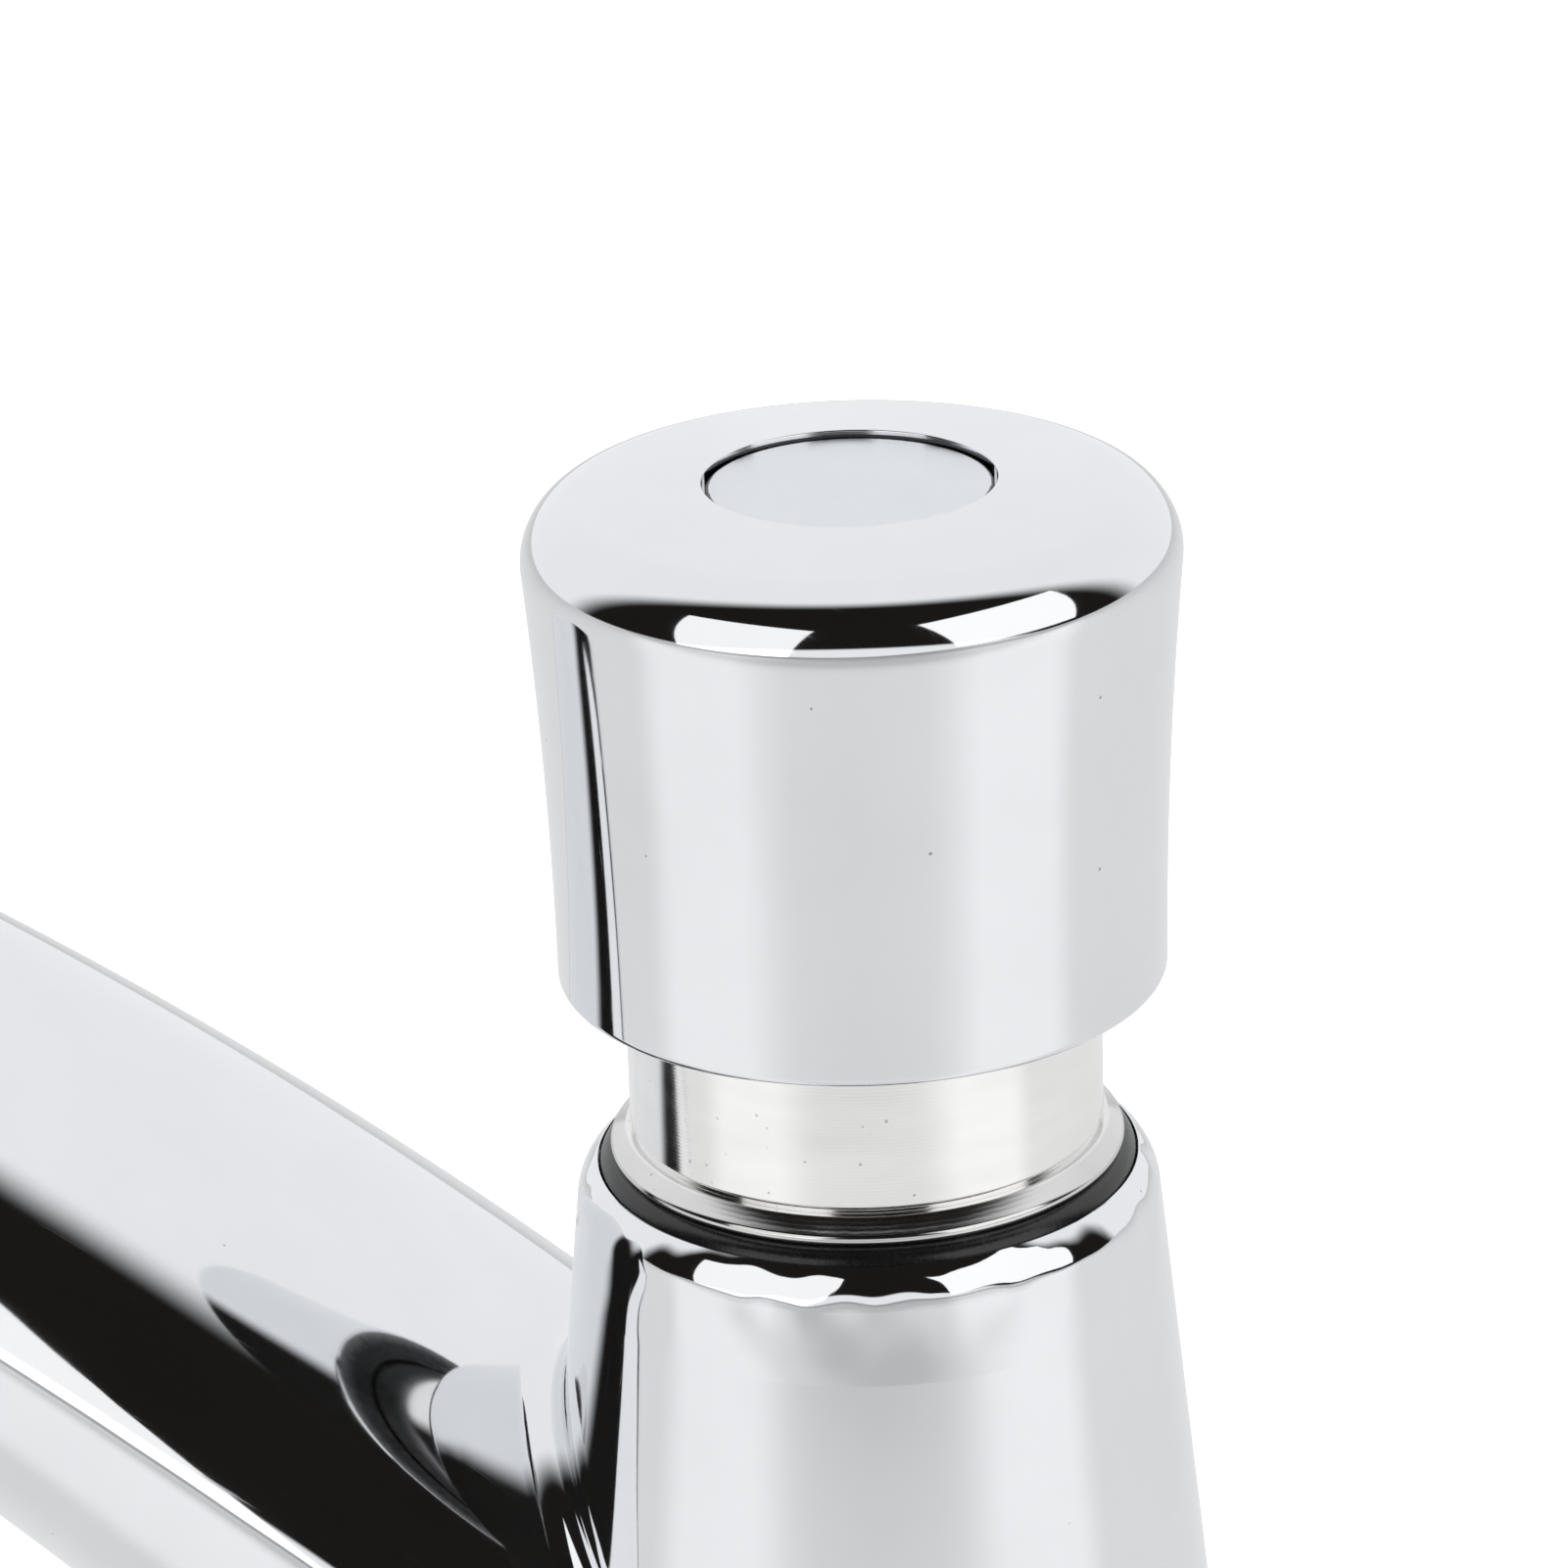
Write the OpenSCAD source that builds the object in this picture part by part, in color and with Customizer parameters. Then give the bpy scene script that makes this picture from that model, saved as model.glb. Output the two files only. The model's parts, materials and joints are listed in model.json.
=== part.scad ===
// Push timed tap for a basin deck: a push cap on a guide sleeve works a valve with a slow return.
// The top of the deck is Z = 0, the body's axis is Z, and the spout points towards -Y.
// All sizes are in millimetres and all angles in degrees.

/* [Body casting] */
// Height of the body's rim above the deck
rim_height = 72; // [70:1:80]
// Diameter of the body at its foot
foot_d = 49.6; // [49:0.2:54]
// Diameter of the body at its rim
rim_d = 35.4; // [35.4:0.2:37]
// Thickness of the casting's walls
wall = 3; // [2.6:0.1:3.4]

/* [Spout] */
// Height at which the spout's centre line crosses the body's axis
spout_z = 17.4; // [16.9:0.1:18.3]
// Climb of the centre line at the body's axis
spout_climb = 44; // [43:0.5:46]
// Radius of the long upper arc
spout_arc_r = 285; // [265:5:325]
// Length of the long arc along its centre line
spout_arc_len = 90; // [84:1:110]
// Radius of the bend that turns down to the outlet
spout_bend_r = 24; // [22:1:30]
// Lean of the outlet away from straight down
outlet_lean = 10; // [0:1:20]
// Height of the spout's oval section at the body's axis
spout_root_h = 35.7; // [35.1:0.2:36.5]
// Width of the oval section at the body's axis
spout_root_w = 40.4; // [39.4:0.2:40.8]
// Width of the spout where it is widest, half way along the long arc
spout_belly_w = 42.4; // [41.6:0.2:43.2]
// Share by which the section's top is flatter than its underside at the body's axis
spout_flat = 0.43; // [0.31:0.02:0.51]
// Diameter of the spout at its tip
spout_tip_d = 27; // [27:0.2:29]
// Radius of the fillet between spout and body
spout_fillet = 2.2; // [1.6:0.2:3]

/* [Push cap] */
// Diameter of the cap at its lower edge
cap_bottom_d = 37; // [36.6:0.2:38.6]
// Diameter of the cap where it is widest
cap_top_d = 39.3; // [38.9:0.2:42.1]
// Height of the cap from its lower edge to the disc's recess
cap_h = 31.25; // [30.25:0.5:36.25]
// Radius of the cap's shoulder
cap_corner_r = 4; // [3:0.5:5]
// Slope of the cap's top
cap_dome = 5; // [2:0.5:7]
// Diameter of the disc in the cap's top
disc_d = 17.1; // [16.1:0.5:19.1]
// Thickness of the disc
disc_t = 1.2; // [0.8:0.1:1.6]
// Depth of the disc's face below the cap's top
disc_sink = 0.45; // [0.25:0.1:0.65]
// Travel of the cap from rest to fully pushed
stroke = 8; // [6:0.5:9]

/* [Guide sleeve] */
// Diameter of the neck that the cap slides on
neck_d = 29; // [28.6:0.1:29.4]
// Diameter of the sleeve's collar
collar_d = 31.5; // [31.1:0.1:31.5]
// Diameter of the sleeve's thread
sleeve_thread_d = 29.8; // [29.4:0.1:30]
// Thickness of the neck's wall
neck_wall = 1.9; // [1.7:0.1:2.3]
// Section diameter of the rim seal
seal_cord = 2.5; // [2.3:0.1:2.7]

/* [Cartridge] */
// Depth of the barrel's flange seat below the rim
cartridge_depth = 14; // [13:0.5:15]
// Inner diameter of the timing cylinder
cylinder_d = 21; // [20:0.2:21.4]
// Thickness of the barrel's wall
barrel_wall = 1.7; // [1.5:0.1:1.9]
// Width of each outlet port in the barrel
port_w = 8; // [6:0.5:10]
// Diameter of the valve seat's orifice
orifice_d = 9.2; // [8.2:0.2:9.8]

/* [Stem and valve] */
// Diameter of the push stem
stem_d = 6; // [5.6:0.1:6.2]
// Diameter of the valve washer
valve_d = 13.2; // [12.6:0.2:13.4]
// Thickness of the valve washer
valve_washer_t = 1.8; // [1.4:0.1:2.2]
// Height of the piston
piston_t = 5; // [4.6:0.1:5.6]

/* [Return spring] */
// Wire diameter
spring_wire_d = 1.6; // [1.2:0.1:1.8]
// Mean diameter of the coils
spring_d = 14; // [13.6:0.2:16]
// Number of turns
spring_turns = 10; // [8:1:11]

/* [Inlet and deck clamp] */
// Bore of the shank
shank_bore_d = 14; // [13:0.2:14.6]
// Length of the shank below the deck
shank_drop = 52; // [46:1:70]
// Thickness of the deck that the clamp is set to
deck_t = 20; // [12:1:20]
// Thickness of the base gasket
gasket_t = 2; // [1.5:0.1:3]
// Width of the lock nut across its flats
lock_nut_af = 30; // [28:0.5:32]
// Height of the lock nut
lock_nut_h = 9; // [7:0.5:10]

/* [Aerator] */
// Outer diameter of the aerator's thread
aerator_d = 24; // [23.4:0.1:24]
// Depth of the aerator's socket in the spout
aerator_depth = 8; // [7:0.5:10]
// Height of the ring that shows below the spout
aerator_ring_h = 3.2; // [2.6:0.2:5]

/* [Fits] */
// Radial gap between the cap and the neck
guide_gap = 0.2; // [0.1:0.05:0.3]
// Radial gap of pieces that are screwed or pushed together
thread_gap = 0.05; // [0.03:0.01:0.08]
// Radial gap of the seals
seal_gap = 0.05; // [0.03:0.01:0.08]

/* [Hidden] */
$fn = 96;
eps = 0.5;
RAD = 180 / PI;

// Outer diameter of the standard half-inch pipe thread
shank_d = 20.955;

// Heights of the pieces, from the deck up
foot_z = gasket_t;
shank_grip = 7.5;
shank_seal_t = 1.5;
shank_top_z = foot_z + shank_grip;
inlet_z = shank_top_z + shank_seal_t;
poppet_t = 2;
poppet_room = 1.2;
ledge_z = inlet_z + poppet_room + stroke + poppet_t + valve_washer_t;
nose_gap = 0.1;
nose_z = ledge_z + nose_gap;
nose_len = 6.2;
boss_top_z = ledge_z + nose_len;
barrel_foot_z = boss_top_z + 0.3;
barrel_floor_t = 2;
rim_z = rim_height;
shoulder_z = rim_z - cartridge_depth;
flange_t = 3;
flange_z = shoulder_z + flange_t;
sleeve_floor_t = 5;
sleeve_floor_z = flange_z + sleeve_floor_t;
collar_lift = 0.8;
collar_t = 1.8;
collar_z = rim_z + collar_lift;
neck_z = collar_z + collar_t;
seal_seat_z = collar_z - seal_cord;
stop_gap = 1.7;
cap_z = neck_z + stroke + stop_gap;
sleeve_overlap = 8.7;
sleeve_top_z = cap_z + sleeve_overlap;
cap_top_z = cap_z + cap_h;
disc_z = cap_top_z - disc_sink - disc_t;
roof_t = 6;
roof_z = disc_z - roof_t;

// Radii of the body and of what is screwed into it
foot_r = foot_d / 2;
rim_r = rim_d / 2;
cone_lean = atan((foot_r - rim_r) / (rim_z - foot_z));
shank_r = shank_d / 2;
socket_r = shank_r + thread_gap;
boss_r = 13.4;
collar_r = collar_d / 2;
neck_r = neck_d / 2;
neck_bore_r = neck_r - neck_wall;
sleeve_thread_r = sleeve_thread_d / 2;
sleeve_bore_r = sleeve_thread_r + 2 * thread_gap;
seal_show = 0.8;
seal_outer_r = collar_r + seal_show;
seal_ring_r = seal_outer_r - seal_cord / 2;
undercut_r = seal_ring_r - seal_cord / 2 - seal_gap;
seal_bore_r = seal_outer_r + seal_gap;

// Cartridge radii
cylinder_r = cylinder_d / 2;
barrel_r = cylinder_r + barrel_wall;
barrel_clear = 0.3;
nose_r = 9.4;
nose_bore_r = nose_r + 2 * seal_gap;
nose_hole_r = 6;
seat_ring_r = 7.15;
seat_ring_t = 2;
nose_ring_cord = 1.75;
nose_groove_h = 2.1;
nose_groove_z = nose_z + seat_ring_t + 1;
inlet_r = 8.2;

// Stem, piston and valve
stem_r = stem_d / 2;
stem_low_r = stem_r - 0.5;
stem_tip_r = 2;
stem_collar_r = stem_r + 1;
stem_collar_h = 2;
stem_seal_cord = 2;
stem_seal_z = flange_z + 2;
stem_pocket_r = stem_r + seal_gap + stem_seal_cord + 3 * seal_gap;
piston_drop = 7;
piston_top_z = flange_z - piston_drop;
piston_z = piston_top_z - piston_t;
piston_play = 0.25;
piston_r = cylinder_r - piston_play;
seal_groove_lift = 1.4;
seal_groove_h = 2.4;
seal_groove_depth = 1.8;
clip_t = 0.8;
clip_groove = 0.6;
clip_r = stem_r + 1.6;
jet_r = 1.2;
jet_head_r = jet_r + 0.6;
jet_at = clip_r + 0.2 + jet_head_r;
valve_r = valve_d / 2;
poppet_r = valve_r + 0.3;
valve_washer_top_z = nose_z - seal_gap;
valve_washer_z = valve_washer_top_z - valve_washer_t;
poppet_z = valve_washer_z - poppet_t;
poppet_nut_h = 2.8;
poppet_nut_af = 7;
stem_tip_z = poppet_z - poppet_nut_h - 0.6;
stem_top_z = roof_z;
screw_r = 2;
screw_depth = 10;

// Under the deck
clamp_gasket_t = 3;
clamp_washer_t = 1.5;
clamp_gasket_z = -deck_t - clamp_gasket_t;
clamp_washer_z = clamp_gasket_z - clamp_washer_t;
lock_nut_z = clamp_washer_z - lock_nut_h;
relief_z = lock_nut_z - 1.5;
relief_h = 2;
relief_depth = 1;
clamp_hole_r = shank_r + 0.4;

// Spout path: a long rising arc, a tighter bend down, and a straight end that holds the aerator
bend_climb = spout_climb - RAD * spout_arc_len / spout_arc_r;
outlet_climb = outlet_lean - 90;
taper_len = spout_arc_len + spout_bend_r * (bend_climb - outlet_climb) / RAD;
tip_len = aerator_depth + 1;
spout_len = taper_len + tip_len;
belly_s = spout_arc_len / 2;
belly_slope = (spout_belly_w - spout_root_w) / belly_s;
width_curve = ((spout_tip_d - spout_root_w) / taper_len - belly_slope) / (taper_len - belly_s);
spout_sides = 48;
cavity_sides = 32;
cavity_start = 15;

// Aerator
aerator_r = aerator_d / 2;
aerator_wall = 2;
aerator_bore_r = aerator_r - aerator_wall;
aerator_lip = 1;
aerator_washer_t = 1.5;

// Push cap
cap_bottom_r = cap_bottom_d / 2;
cap_top_r = cap_top_d / 2;
recess_r = disc_d / 2 + 0.2;
guide_r = neck_r + guide_gap;
hub_r = stem_r + 2.2;
head_pocket = 3.2;
pocket_z = disc_z - head_pocket;

// Colours of the materials
CHROME = [0.80, 0.81, 0.83];
NICKEL = [0.70, 0.68, 0.65];
BRASS = [0.78, 0.62, 0.33];
STEEL = [0.62, 0.63, 0.65];
RUBBER = [0.08, 0.08, 0.09];
SILVER = [0.84, 0.86, 0.90];
PLASTIC = [0.88, 0.88, 0.85];
FIBRE = [0.55, 0.24, 0.18];

// Shared outlines and shapes

// Points of an arc in a profile, from one angle to another
function arc(centre, r, from, to, steps) =
    [for (i = [0:steps]) let (a = from + (to - from) * i / steps) centre + r * [cos(a), sin(a)]];

// Flat ring between two radii, standing on a height
module ring(outer, inner, z, h) {
    translate([0, 0, z])
    difference() {
        cylinder(r = outer, h = h);
        translate([0, 0, -eps]) cylinder(r = inner, h = h + 2 * eps);
    }
}

// Plain bore that starts at a height
module bore(r, z, h) {
    translate([0, 0, z]) cylinder(r = r, h = h);
}

// Ring of round section
module o_ring(ring_r, cord_d, z) {
    translate([0, 0, z]) rotate_extrude() translate([ring_r, 0]) circle(d = cord_d, $fn = 48);
}

// Hexagon prism with turned corners
module hexagon(af, h, z) {
    corner_r = af / 2 / cos(30);
    chamfer = corner_r - af / 2;
    translate([0, 0, z])
    intersection() {
        cylinder(r = corner_r, h = h, $fn = 6);
        rotate_extrude()
        polygon([
            [0, 0], [corner_r - chamfer, 0], [corner_r, chamfer * 0.6],
            [corner_r, h - chamfer * 0.6], [corner_r - chamfer, h], [0, h]
        ]);
    }
}

// Closed skin through a row of rings, each with the same number of points, with a centre at each end
module loft(rings, first_centre, last_centre) {
    n = len(rings[0]);
    m = len(rings);
    hub = n * m;
    polyhedron(
        points = concat([for (r = rings) each r], [first_centre, last_centre]),
        faces = concat(
            [for (i = [0:m - 2], j = [0:n - 1]) [i * n + j, i * n + (j + 1) % n, (i + 1) * n + (j + 1) % n]],
            [for (i = [0:m - 2], j = [0:n - 1]) [i * n + j, (i + 1) * n + (j + 1) % n, (i + 1) * n + j]],
            [for (j = [0:n - 1]) [hub, (j + 1) % n, j]],
            [for (j = [0:n - 1]) [hub + 1, (m - 1) * n + j, (m - 1) * n + (j + 1) % n]]
        )
    );
}

// Body cone and spout geometry

// Radius of the body's cone at a height
function cone_r(z) = foot_r + (rim_r - foot_r) * (z - foot_z) / (rim_z - foot_z);

// Step along an arc that turns from one climb to another, as [forward, up]
function arc_step(r, from, to) = r * [sin(from) - sin(to), cos(to) - cos(from)];

// Climb of the spout's centre line at a length from the body's axis
function climb(s) =
    s < spout_arc_len
        ? spout_climb - RAD * s / spout_arc_r
        : bend_climb - RAD * (min(s, taper_len) - spout_arc_len) / spout_bend_r;

// Point of the centre line as [forward, up]
function path(s) =
    [0, spout_z]
    + arc_step(spout_arc_r, spout_climb, climb(min(s, spout_arc_len - 0.001)))
    + (s > spout_arc_len ? arc_step(spout_bend_r, bend_climb, climb(s)) : [0, 0])
    + max(s - taper_len, 0) * [cos(outlet_climb), sin(outlet_climb)];

// Share of the taper that is left at a length from the body's axis
function taper_left(s) = 1 - min(s / taper_len, 1);

// Half height and half width of the section, which is a circle from the end of the taper on
function half_h(s) = (spout_tip_d + (spout_root_h - spout_tip_d) * pow(taper_left(s), 2)) / 2;
function half_w(s) =
    let (t = min(s, taper_len))
    (spout_root_w + belly_slope * t + width_curve * t * (t - belly_s)) / 2;

// Point on the spout's skin, or set in from it, at an angle from its top
function skin(s, a, inset = 0) =
    let (c = path(s), k = climb(s), flat = spout_flat * taper_left(s))
    let (reach = half_h(s) * (cos(a) > 0 ? 1 - flat : 1 + flat) - inset)
    let (out = half_h(s) * flat + reach * cos(a))
    [(half_w(s) - inset) * sin(a), out * sin(k) - c[0], out * cos(k) + c[1]];

// Point of the centre line in space
function middle(s) = let (c = path(s)) [0, -c[0], c[1]];

// Way out of the spout's skin, square to its run along and around
function skin_way(s, a) =
    let (step = 0.001)
    let (way = cross(skin(s + step, a) - skin(s - step, a), skin(s, a + step) - skin(s, a - step)))
    way / norm(way);

// Centre of a ball of the fillet's radius that rests on the skin
function fillet_ball(s, a) = skin(s, a) + spout_fillet * skin_way(s, a);

// Way out of the cone's face at a point beside it
function cone_way(p) =
    let (q = norm([p[0], p[1]]))
    [p[0] / q * cos(cone_lean), p[1] / q * cos(cone_lean), sin(cone_lean)];

// Distance of a point from the cone's face
function cone_gap(p) = (norm([p[0], p[1]]) - cone_r(p[2])) * cos(cone_lean);

// Length along the spout at which a ball of the fillet's radius touches both spout and cone
function fillet_s(a, low = 8, high = spout_arc_len, steps = 24) =
    let (mid = (low + high) / 2)
    steps == 0 ? mid
    : cone_gap(fillet_ball(mid, a)) < spout_fillet
        ? fillet_s(a, mid, high, steps - 1)
        : fillet_s(a, low, mid, steps - 1);

// Unit vector a share of the way from one to another
function turn(v, w, t) = let (q = acos(v * w)) (sin((1 - t) * q) * v + sin(t * q) * w) / sin(q);

// Point of the fillet: share 0 lies on the cone and share 1 on the spout
function fillet_point(s, a, share) =
    let (ball = fillet_ball(s, a))
    ball - spout_fillet * turn(cone_way(ball), skin_way(s, a), share);

// Spout as one skin: a start inside the cone, the fillet, then the tapered tube
module spout_skin() {
    fillet_steps = 5;
    root_steps = 4;
    arc_steps = 4;
    bend_steps = 14;
    sink = 1.5;
    graze = 0.1;
    angles = [for (j = [0:spout_sides - 1]) 360 * j / spout_sides];
    starts = [for (a = angles) fillet_s(a)];
    even_s = max(starts) + 3;
    lengths = concat(
        [for (i = [1:arc_steps]) even_s + (spout_arc_len - even_s) * i / arc_steps],
        [for (i = [1:bend_steps]) spout_arc_len + (taper_len - spout_arc_len) * i / bend_steps],
        [spout_len]
    );
    first = [for (a = angles) skin(0, a)];
    buried = [for (j = [0:spout_sides - 1])
        let (p = fillet_point(starts[j], angles[j], 0)) p - sink * cone_way(p)];
    landing = [for (j = [0:spout_sides - 1])
        let (p = fillet_point(starts[j], angles[j], 0)) p - graze * cone_way(p)];
    fillet = [for (i = [1:fillet_steps])
        [for (j = [0:spout_sides - 1]) fillet_point(starts[j], angles[j], i / fillet_steps)]];
    root = [for (i = [1:root_steps])
        [for (j = [0:spout_sides - 1])
            skin(starts[j] + (even_s - starts[j]) * i / root_steps, angles[j])]];
    tube = [for (s = lengths) [for (a = angles) skin(s, a)]];
    loft(
        concat([first, buried, landing], fillet, root, tube),
        middle(0),
        middle(spout_len)
    );
}

// Hollow of the spout, one wall inside its skin
module spout_cavity() {
    arc_steps = 6;
    bend_steps = 12;
    end_s = spout_len - aerator_depth + eps;
    lengths = concat(
        [for (i = [0:arc_steps]) cavity_start + (spout_arc_len - cavity_start) * i / arc_steps],
        [for (i = [1:bend_steps]) spout_arc_len + (taper_len - spout_arc_len) * i / bend_steps],
        [end_s]
    );
    angles = [for (j = [0:cavity_sides - 1]) 360 * j / cavity_sides];
    loft(
        [for (s = lengths) [for (a = angles) skin(s, a, wall)]],
        middle(cavity_start),
        middle(end_s)
    );
}

// Places a piece at the outlet, with +Z along the flow and 0 at the spout's end
module at_outlet() {
    tip = path(spout_len);
    translate([0, -tip[0], tip[1]]) rotate([180 - outlet_lean, 0, 0]) children();
}

// Fixed pieces

// Cone with a rounding that leaves its face smoothly and ends at a narrow lip round the seal's bore
module body_cone() {
    foot_edge = 0.5;
    rim_round = 3.6;
    lip_r = seal_bore_r + 0.1;
    inset = (rim_r - lip_r) * cos(cone_lean);
    fall = sqrt(2 * inset * rim_round - inset * inset) - (rim_r - lip_r) * sin(cone_lean);
    start = [rim_r + fall * sin(cone_lean), rim_z - fall * cos(cone_lean)];
    centre = start - rim_round * [cos(cone_lean), sin(cone_lean)];
    rotate_extrude()
    polygon(concat(
        [[0, foot_z], [foot_r - foot_edge, foot_z], [cone_r(foot_z + foot_edge), foot_z + foot_edge]],
        arc(centre, rim_round, cone_lean, atan2(rim_z - centre[1], lip_r - centre[0]), 8),
        [[0, rim_z]]
    ));
}

// Bores for the sleeve, the cartridge, the inlet and the shank, all on the body's axis
module body_bores() {
    bore(seal_bore_r, seal_seat_z, rim_z - seal_seat_z + eps);
    bore(sleeve_bore_r, shoulder_z, rim_z - shoulder_z);
    bore(barrel_r + barrel_clear, boss_top_z, shoulder_z - boss_top_z + eps);
    bore(nose_bore_r, ledge_z, nose_len + eps);
    bore(inlet_r, inlet_z - eps, ledge_z - inlet_z + 2 * eps);
    bore(socket_r, foot_z - eps, shank_grip + shank_seal_t + eps);
}

// Cored hollows around the cartridge and under the foot
module body_hollows() {
    chamber_top_z = shoulder_z - wall;
    foot_hollow_h = 10;
    moat_z = foot_z + foot_hollow_h + wall + 1;
    rotate_extrude()
    polygon([
        [0, boss_top_z], [boss_r, boss_top_z], [boss_r, moat_z], [cone_r(moat_z) - wall, moat_z],
        [cone_r(chamber_top_z) - wall, chamber_top_z], [0, chamber_top_z]
    ]);
    rotate_extrude()
    polygon([
        [boss_r, foot_z - eps], [foot_r - wall, foot_z - eps],
        [cone_r(foot_z + foot_hollow_h) - wall, foot_z + foot_hollow_h], [boss_r, foot_z + foot_hollow_h]
    ]);
}

module tap_body() {
    color(CHROME)
    difference() {
        union() {
            body_cone();
            spout_skin();
        }
        body_bores();
        body_hollows();
        difference() {
            spout_cavity();
            bore(boss_r, foot_z, nose_len + ledge_z - foot_z);
        }
        at_outlet() translate([0, 0, -aerator_depth]) cylinder(d = aerator_d, h = aerator_depth + eps);
    }
}

module guide_sleeve() {
    bead_r = 0.42;
    bead = [collar_r - bead_r, collar_z + bead_r];
    groove = 0.25;
    undercut_z = seal_seat_z - 0.6;
    color(NICKEL)
    difference() {
        rotate_extrude()
        polygon(concat(
            [[0, flange_z], [sleeve_thread_r, flange_z], [sleeve_thread_r, undercut_z]],
            [[undercut_r, undercut_z], [undercut_r, collar_z]],
            arc(bead, bead_r, -90, 60, 8),
            [[neck_r + groove, neck_z - groove], [neck_r - groove, neck_z - groove]],
            [[neck_r - groove, neck_z], [neck_r, neck_z + groove]],
            [[neck_r, sleeve_top_z - eps], [neck_r - eps, sleeve_top_z], [0, sleeve_top_z]]
        ));
        bore(stem_r + seal_gap, flange_z - eps, sleeve_floor_t + 2 * eps);
        bore(stem_pocket_r, stem_seal_z, sleeve_floor_t);
        bore(neck_bore_r, sleeve_floor_z, sleeve_top_z - sleeve_floor_z + eps);
    }
}

module rim_seal() {
    color(RUBBER) o_ring(seal_ring_r, seal_cord, seal_seat_z + seal_cord / 2);
}

module cartridge_barrel() {
    port_z = barrel_foot_z + barrel_floor_t;
    port_top_z = piston_z - stroke - 1;
    flange_r = sleeve_thread_r - 2 * seal_gap;
    groove_r = nose_r - nose_ring_cord - 2 * seal_gap;
    color(PLASTIC)
    difference() {
        union() {
            bore(nose_r, nose_z, barrel_foot_z - nose_z + eps);
            bore(barrel_r, barrel_foot_z, flange_z - barrel_foot_z);
            bore(flange_r, shoulder_z, flange_t);
        }
        bore(nose_hole_r, nose_z - eps, flange_z - nose_z);
        bore(seat_ring_r + thread_gap, nose_z - eps, seat_ring_t + eps);
        bore(cylinder_r, port_z, flange_z - port_z + eps);
        ring(nose_r + eps, groove_r, nose_groove_z, nose_groove_h);
        for (a = [0, 90])
            rotate(a) translate([-barrel_r - eps, -port_w / 2, port_z])
                cube([2 * (barrel_r + eps), port_w, port_top_z - port_z]);
    }
}

module barrel_o_ring() {
    color(RUBBER)
    o_ring(nose_r - nose_ring_cord / 2, nose_ring_cord, nose_groove_z + nose_groove_h / 2);
}

module seat_ring() {
    lip = 0.3;
    color(STEEL)
    difference() {
        bore(seat_ring_r, nose_z, seat_ring_t);
        bore(orifice_d / 2, nose_z - eps, seat_ring_t + 2 * eps);
        ring(seat_ring_r + eps, orifice_d / 2 + 1, nose_z - eps, eps + lip);
    }
}

module stem_o_ring() {
    ring_r = stem_r + seal_gap + stem_seal_cord / 2;
    color(RUBBER) o_ring(ring_r, stem_seal_cord, stem_seal_z + stem_seal_cord / 2);
}

module stem_seal_washer() {
    washer_t = 1;
    stem_play = 0.2;
    color(STEEL)
    ring(stem_pocket_r - thread_gap, stem_r + stem_play, sleeve_floor_z - washer_t, washer_t);
}

// Height of the spring's wire at a turn: a nearly closed turn at each end, even pitch between
function spring_z(t, rise, end_pitch) =
    t < 1 ? t * end_pitch
    : t > spring_turns - 1 ? rise - (spring_turns - t) * end_pitch
    : end_pitch + (t - 1) * (rise - 2 * end_pitch) / (spring_turns - 2);

module return_spring() {
    turn_rings = 12;
    wire_sides = 6;
    seat_gap = 0.05;
    wire_r = spring_wire_d / 2;
    end_pitch = spring_wire_d + 0.6;
    low_z = sleeve_floor_z + wire_r + seat_gap;
    rise = roof_z - sleeve_floor_z - spring_wire_d - 2 * seat_gap;
    turns = [for (i = [0:spring_turns * turn_rings]) i / turn_rings];
    middle = [for (t = turns)
        [spring_d / 2 * cos(360 * t), spring_d / 2 * sin(360 * t), low_z + spring_z(t, rise, end_pitch)]];
    wire = [for (i = [0:len(turns) - 1])
        [for (j = [0:wire_sides - 1])
            let (a = 360 * turns[i], b = 360 * j / wire_sides)
            middle[i] + wire_r * [cos(b) * cos(a), cos(b) * sin(a), sin(b)]]];
    self_gap = min([for (i = [0:len(turns) - 1 - turn_rings])
        norm(middle[i + turn_rings] - middle[i]) - spring_wire_d]);
    echo(spring_self_gap = self_gap);
    color(STEEL) loft(wire, middle[0], middle[len(middle) - 1]);
}

module inlet_shank() {
    chamfer = 0.8;
    color(BRASS)
    difference() {
        union() {
            bore(shank_r, -shank_drop + chamfer, shank_drop + shank_top_z - chamfer);
            translate([0, 0, -shank_drop]) cylinder(r1 = shank_r - chamfer, r2 = shank_r, h = chamfer);
        }
        bore(shank_bore_d / 2, -shank_drop - eps, shank_drop + shank_top_z + 2 * eps);
        ring(shank_r + eps, shank_r - relief_depth, relief_z - relief_h, relief_h);
    }
}

module shank_seal() {
    color(FIBRE) ring(shank_r - 0.2, inlet_r - 0.2, shank_top_z, shank_seal_t);
}

module inlet_strainer() {
    rim_h = 2;
    basket_h = 8;
    strainer_r = shank_bore_d / 2 - thread_gap;
    basket_r = strainer_r - 1.5;
    shell = 0.8;
    slots = 8;
    slot_w = 1.4;
    color(PLASTIC)
    difference() {
        union() {
            bore(strainer_r, -shank_drop, rim_h);
            bore(basket_r, -shank_drop, basket_h);
        }
        bore(basket_r - shell, -shank_drop - eps, basket_h - shell + eps);
        for (i = [0:slots - 1])
            rotate(360 * i / slots) translate([basket_r - 2 * shell, -slot_w / 2, -shank_drop + rim_h + 1])
                cube([3 * shell, slot_w, basket_h - rim_h - 2.5]);
    }
}

module base_gasket() {
    inset = 0.4;
    color(RUBBER) ring(foot_r - inset, clamp_hole_r, 0, gasket_t);
}

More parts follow.
